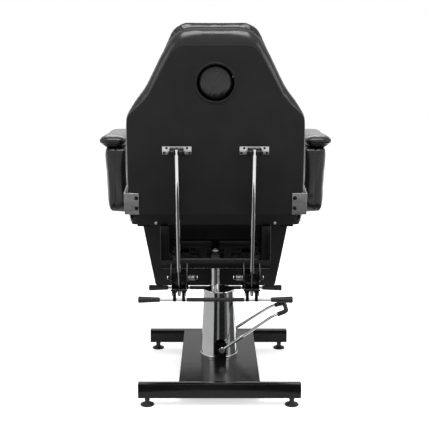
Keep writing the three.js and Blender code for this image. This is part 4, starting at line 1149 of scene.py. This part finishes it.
# %% Seat frame and side plates
for name in ("rear", "front", "side_left", "side_right", "centre"):
    broken_edges(f"seat_frame_{name}", 1.6 * mm, 3)
for hand, _ in hands:
    broken_edges(f"seat_side_plate_{hand}", 0.8 * mm)
bm = bmesh.new()
bar_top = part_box("seat_frame_centre")[1].z
dome_head(bm, 10, 7, Matrix.Translation((0, joint_at["seat_swivel"].y, bar_top)))
for x in (-205 * mm, 205 * mm):
    spot = Matrix.Translation((x, board_low.y + 0.3 * mm, board_low.z + 6 * mm))
    dome_head(bm, 5.5, 3.5, spot @ backwards)
make_piece("seat_frame_bolts", bm, zinc, "seat")

# %% [markdown]
# The column is a chrome ram in a cast pump body, with a gland at the body's top and a washer
# under the seat.

# %% Ram, washer and gland
low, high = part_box("ram")
ram_y = (low.y + high.y) / 2
on_ram = Matrix.Translation((0, ram_y, 0))
ram = [
    (0, 112), (14, 112), (14, 416), (15, 421), (22.6, 422), (24, 423.2), (24, 429.2), (23.2, 430),
    (9, 430), (9, 459.8), (8.3, 460.5), (0, 460.5),
]
washer = [(9.25, 430), (25.4, 430), (26, 430.6), (26, 432.4), (25.4, 433), (9.25, 433), (9.25, 430)]
gland = [(14.3, 300), (22, 300), (22, 308.5), (20.4, 311), (15.4, 311), (14.3, 310), (14.3, 300)]
spun_node("ram", ram, on_ram, 64, chrome)
spun_node("swivel_washer", washer, on_ram, 48, zinc)
spun_node("pump_gland", gland, on_ram, 48, zinc)
broken_edges("pump_body", 1.2 * mm)

# %% [markdown]
# The tapered chrome cover leans in a little towards its top. It is spun with its real wall,
# and an arched slot is cut from its foot.

# %% Pump cover
cover_x = 13.5 * mm
cover = [
    (68.5, 78), (68.5, 84.5), (67.8, 86.2), (66.4, 87), (65.9, 88.4), (54.6, 319), (54, 322),
    (52.8, 323), (52.4, 321), (64.4, 87), (64.4, 78), (68.5, 78),
]
on_cover = Matrix.Translation((cover_x, ram_y, 0))
pump_cover = spun_node("pump_cover", cover, on_cover, 96, chrome)
slot_x, slot_half, slot_foot, slot_top, cut_depth = 18 * mm, 21.5 * mm, 60 * mm, 150 * mm, 200 * mm
arch_up = slot_top - slot_half
bm = bmesh.new()
bmesh.ops.create_cone(
    bm, cap_ends=True, segments=64, radius1=slot_half, radius2=slot_half, depth=cut_depth,
    matrix=Matrix.Translation((slot_x, ram_y, arch_up)) @ along_y,
)
door = Matrix.Translation((slot_x, ram_y, (arch_up + slot_foot) / 2))
door_size = Matrix.Diagonal((2 * slot_half, cut_depth, arch_up - slot_foot, 1))
bmesh.ops.create_cube(bm, size=1, matrix=door @ door_size)
arch = add_object("arch", mesh_of("arch", bm))
opening = pump_cover.modifiers.new("arch", "BOOLEAN")
opening.object = arch
opening.operation = "DIFFERENCE"
opening.solver = "EXACT"
opening.use_self = True
settle(pump_cover)
bpy.data.objects.remove(arch)
shade(pump_cover, 40)
print("pump cover has", len(pump_cover.data.polygons), "faces")

# %% [markdown]
# A thin lid closes the cover round the ram. The cover stands a little beside the ram's axis,
# so the lid's hole isn't in its middle.

# %% Lid of the pump cover
bm = bmesh.new()
lid = []
for centre, radius, height in (
    (cover_x, 51.8, 321.2), (cover_x, 51.8, 322.4), (0, 14.7, 323.2), (0, 14.7, 322),
):
    known = set(bm.edges)
    place = Matrix.Translation((centre, ram_y, height * mm))
    bmesh.ops.create_circle(bm, cap_ends=False, radius=radius * mm, segments=96, matrix=place)
    lid.append([e for e in bm.edges if e not in known])
bridged(bm, [*lid, lid[0]])
bmesh.ops.recalc_face_normals(bm, faces=bm.faces)
make_piece("pump_cover_lid", bm, chrome, "base")

# %% [markdown]
# The pedal is one chrome rod bent into a loop. It sits on a cross shaft, and its bow carries a
# rubber tread. The rod follows the same points as the measured one, with
# rounder bends.

# %% Pedal
def rounded_run(points, bend, steps=10):
    run = [points[0]]
    for before, corner, after in zip(points, points[1:], points[2:]):
        start = corner + (before - corner).normalized() * bend
        end = corner + (after - corner).normalized() * bend
        for k in range(steps + 1):
            share = k / steps
            run.append(start.lerp(corner, share).lerp(corner.lerp(end, share), share))
    return [*run, points[-1]]


def pedal_loop(half):
    """A closed run of points (x, y, z) in millimetres from one half of it."""
    points = [(x, -y, z) for x, y, z in half] + half[::-1]
    run = [Vector((x * mm, y * mm + ram_y, z * mm)) for x, y, z in points]
    return rounded_run(run, 18 * mm)


shaft, bend, tip = (24, 79, 115), (208, 63, 238), (256, 54, 253)
tread_start = tuple(a + 0.3 * (b - a) for a, b in zip(bend, tip))
for node, half, radius, finish, slot in (
    ("pedal_loop", [shaft, bend, tip], 5.25, chrome, "chrome"),
    ("pedal_tread", [tread_start, tip], 8, rubber, "rubber"),
):
    run = pedal_loop(half)
    bar_along(node + "_shown", run, radius * mm, finish, "pedal", stands_for=[node])
boss = [(6.25, -6), (10.2, -6), (11, -5.2), (11, 5.2), (10.2, 6), (6.25, 6), (6.25, -6)]
bm = bmesh.new()
for side in (-1, 1):
    spot = Matrix.Translation((24 * mm, ram_y + side * 79 * mm, 115 * mm))
    spun(bm, boss, spot @ along_y, 36)
make_piece("pedal_bosses", bm, chrome, "pedal")
broken_edges("pedal_shaft", 0.5 * mm)

# %% [markdown]
# The base is two rectangular tubes with welded ends, a sheet cover between them and four
# levelling feet. The feet are spun: a wide pad, a waist and a stud.

# %% Base and feet
for node in ("base_crossbar_rear", "base_crossbar_front"):
    broken_edges(node, 1.5 * mm, 3)
for node in ("base_cover", "base_subframe"):
    broken_edges(node, 1.0 * mm)
broken_edges("pump_plunger", 0.4 * mm)
foot_profile = [
    (0, 0), (22, 0), (23, 0.8), (23, 3), (22, 5), (19, 6.6), (12.5, 7.4), (9.6, 10), (8.2, 14),
    (8, 17), (8.6, 21), (10, 26), (10.5, 27.5), (5, 27.7), (5, 61.4), (4.4, 62), (0, 62),
]
for end in ("rear", "front"):
    for hand, _ in hands:
        node = f"levelling_foot_{end}_{hand}"
        low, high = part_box(node)
        place = Matrix.Translation(((low.x + high.x) / 2, (low.y + high.y) / 2, 0))
        spun_node(node, foot_profile, place, 40, rubber)

# %% [markdown]
# The chair stands on a white studio floor before a white wall. The floor is pale and catches a
# soft shadow, and a little of its own light keeps it white where the camera or a mirror sees
# it. The world is white there too, and dimmer where it lights.

# %% Floor and world
def seen_directly(tree):
    """1 for rays from the camera, a mirror or a glass, and 0 for light that falls on things."""
    path = tree.nodes.new("ShaderNodeLightPath")
    share = path.outputs["Is Camera Ray"]
    for kind in ("Is Glossy Ray", "Is Transmission Ray"):
        either = add_node(tree, "Math", {0: share, 1: path.outputs[kind]})
        either.operation = "MAXIMUM"
        share = either.outputs[0]
    return share


bm = bmesh.new()
floor_half, floor_glow, sky_lights, sky_shows = 14, 0.62, 0.55, 1.0
bmesh.ops.create_grid(bm, x_segments=4, y_segments=4, size=floor_half)
floor = add_object("floor", mesh_of("floor", bm))
floor_paint = bpy.data.materials.new("white_floor")
floor_paint.use_nodes = True
tree = floor_paint.node_tree
tree.nodes.clear()
lift = add_node(tree, "Math", {0: seen_directly(tree), 1: floor_glow})
lift.operation = "MULTIPLY"
white = add_node(tree, "BsdfDiffuse", {"Color": (0.86, 0.86, 0.86, 1)})
glow = add_node(tree, "Emission", {"Strength": lift.outputs[0]})
both = add_node(tree, "AddShader", {0: white.outputs[0], 1: glow.outputs[0]})
add_node(tree, "OutputMaterial", {"Surface": both.outputs[0]})
floor.data.materials.append(floor_paint)

world = bpy.data.worlds.new("studio")
scene.world = world
world.use_nodes = True
tree = world.node_tree
sky = tree.nodes["Background"]
sky.inputs["Color"].default_value = (1, 1, 1, 1)
lights = {"To Min": sky_lights, "To Max": sky_shows}
level = add_node(tree, "MapRange", {"Value": seen_directly(tree), **lights})
tree.links.new(level.outputs["Result"], sky.inputs["Strength"])
print("floor and world are white")

# %% [markdown]
# A soft lamp hangs above and behind the chair, one lights each side, and one stands far off.
# Cards from grey to black lie on the floor in an arc round the chair, where only a mirror finds
# them. They give the upright chrome its dark streaks. The cards are no lamps: each one glows at its
# own level, and this glow is painted light that is seen only in reflections.

# %% Lamps and cards
def soft_lamp(name, place, target, width, height, power):
    data = bpy.data.lights.new(name, "AREA")
    data.shape = "RECTANGLE"
    data.size, data.size_y = width, height
    data.energy = power
    lamp = add_object(name, data)
    lamp.location = place
    lamp.rotation_euler = (Vector(target) - Vector(place)).to_track_quat("-Z", "Y").to_euler()


soft_lamp("top lamp", (0, -1.05, 3.1), (0, -0.2, 0.9), 1.7, 1.2, 66)
soft_lamp("left lamp", (-2.6, -1.8, 1.9), (0, 0, 0.7), 1.2, 1.6, 14)
soft_lamp("right lamp", (2.6, -1.8, 1.9), (0, 0, 0.7), 1.2, 1.6, 20)
soft_lamp("far lamp", (0, 2.6, 2.8), (0, 0, 0.8), 2.4, 1.0, 30)


def floor_card(name, start, stop, level):
    """A card on the floor with a raised rim, between two bearings round the column."""
    near, far, rim = 0.5, 1.2, 0.34
    bm = bmesh.new()
    steps = 12
    columns = []
    for k in range(steps + 1):
        bearing = math.radians(start + (stop - start) * k / steps)
        columns.append([
            bm.verts.new((reach * math.sin(bearing), ram_y - reach * math.cos(bearing), height))
            for reach, height in ((near, 1 * mm), (far, 1 * mm), (far, rim))
        ])
    for one, other in zip(columns, columns[1:]):
        bm.faces.new((one[0], other[0], other[1], one[1]))
        bm.faces.new((one[1], other[1], other[2], one[2]))
    card = add_object(name, mesh_of(name, bm))
    card.visible_camera = card.visible_diffuse = False
    card.visible_shadow = card.visible_transmission = False
    material = bpy.data.materials.new(name)
    material.use_nodes = True
    shader = material.node_tree.nodes["Principled BSDF"]
    shader.inputs["Base Color"].default_value = (0, 0, 0, 1)
    shader.inputs["Specular IOR Level"].default_value = 0
    # Each card glows at its level. This is painted light that only mirrors see.
    shader.inputs["Emission Color"].default_value = (level, level, level, 1)
    shader.inputs["Emission Strength"].default_value = 1
    card.data.materials.append(material)


bearings = [-165, -35, -12.5, 2, 40, 56, 74, 120]
levels = [0.7, 0.02, 0.27, 0.02, 0.12, 0.5, 0.11]
for k, level in enumerate(levels):
    floor_card(f"card {k + 1}", bearings[k], bearings[k + 1], level)

# %% [markdown]
# The camera stands three metres behind the chair at the height of its head, and looks ten
# degrees down with a long lens.

# %% Camera
lens = bpy.data.cameras.new("camera")
lens.lens = 72.93
lens.sensor_width = 36
camera = add_object("camera", lens)
camera.location = (-0.005, -3.0802, 1.135)
camera.rotation_euler = (math.radians(80.06), 0, 0)
bpy.context.scene.camera = camera
scene.view_settings.view_transform = "Standard"
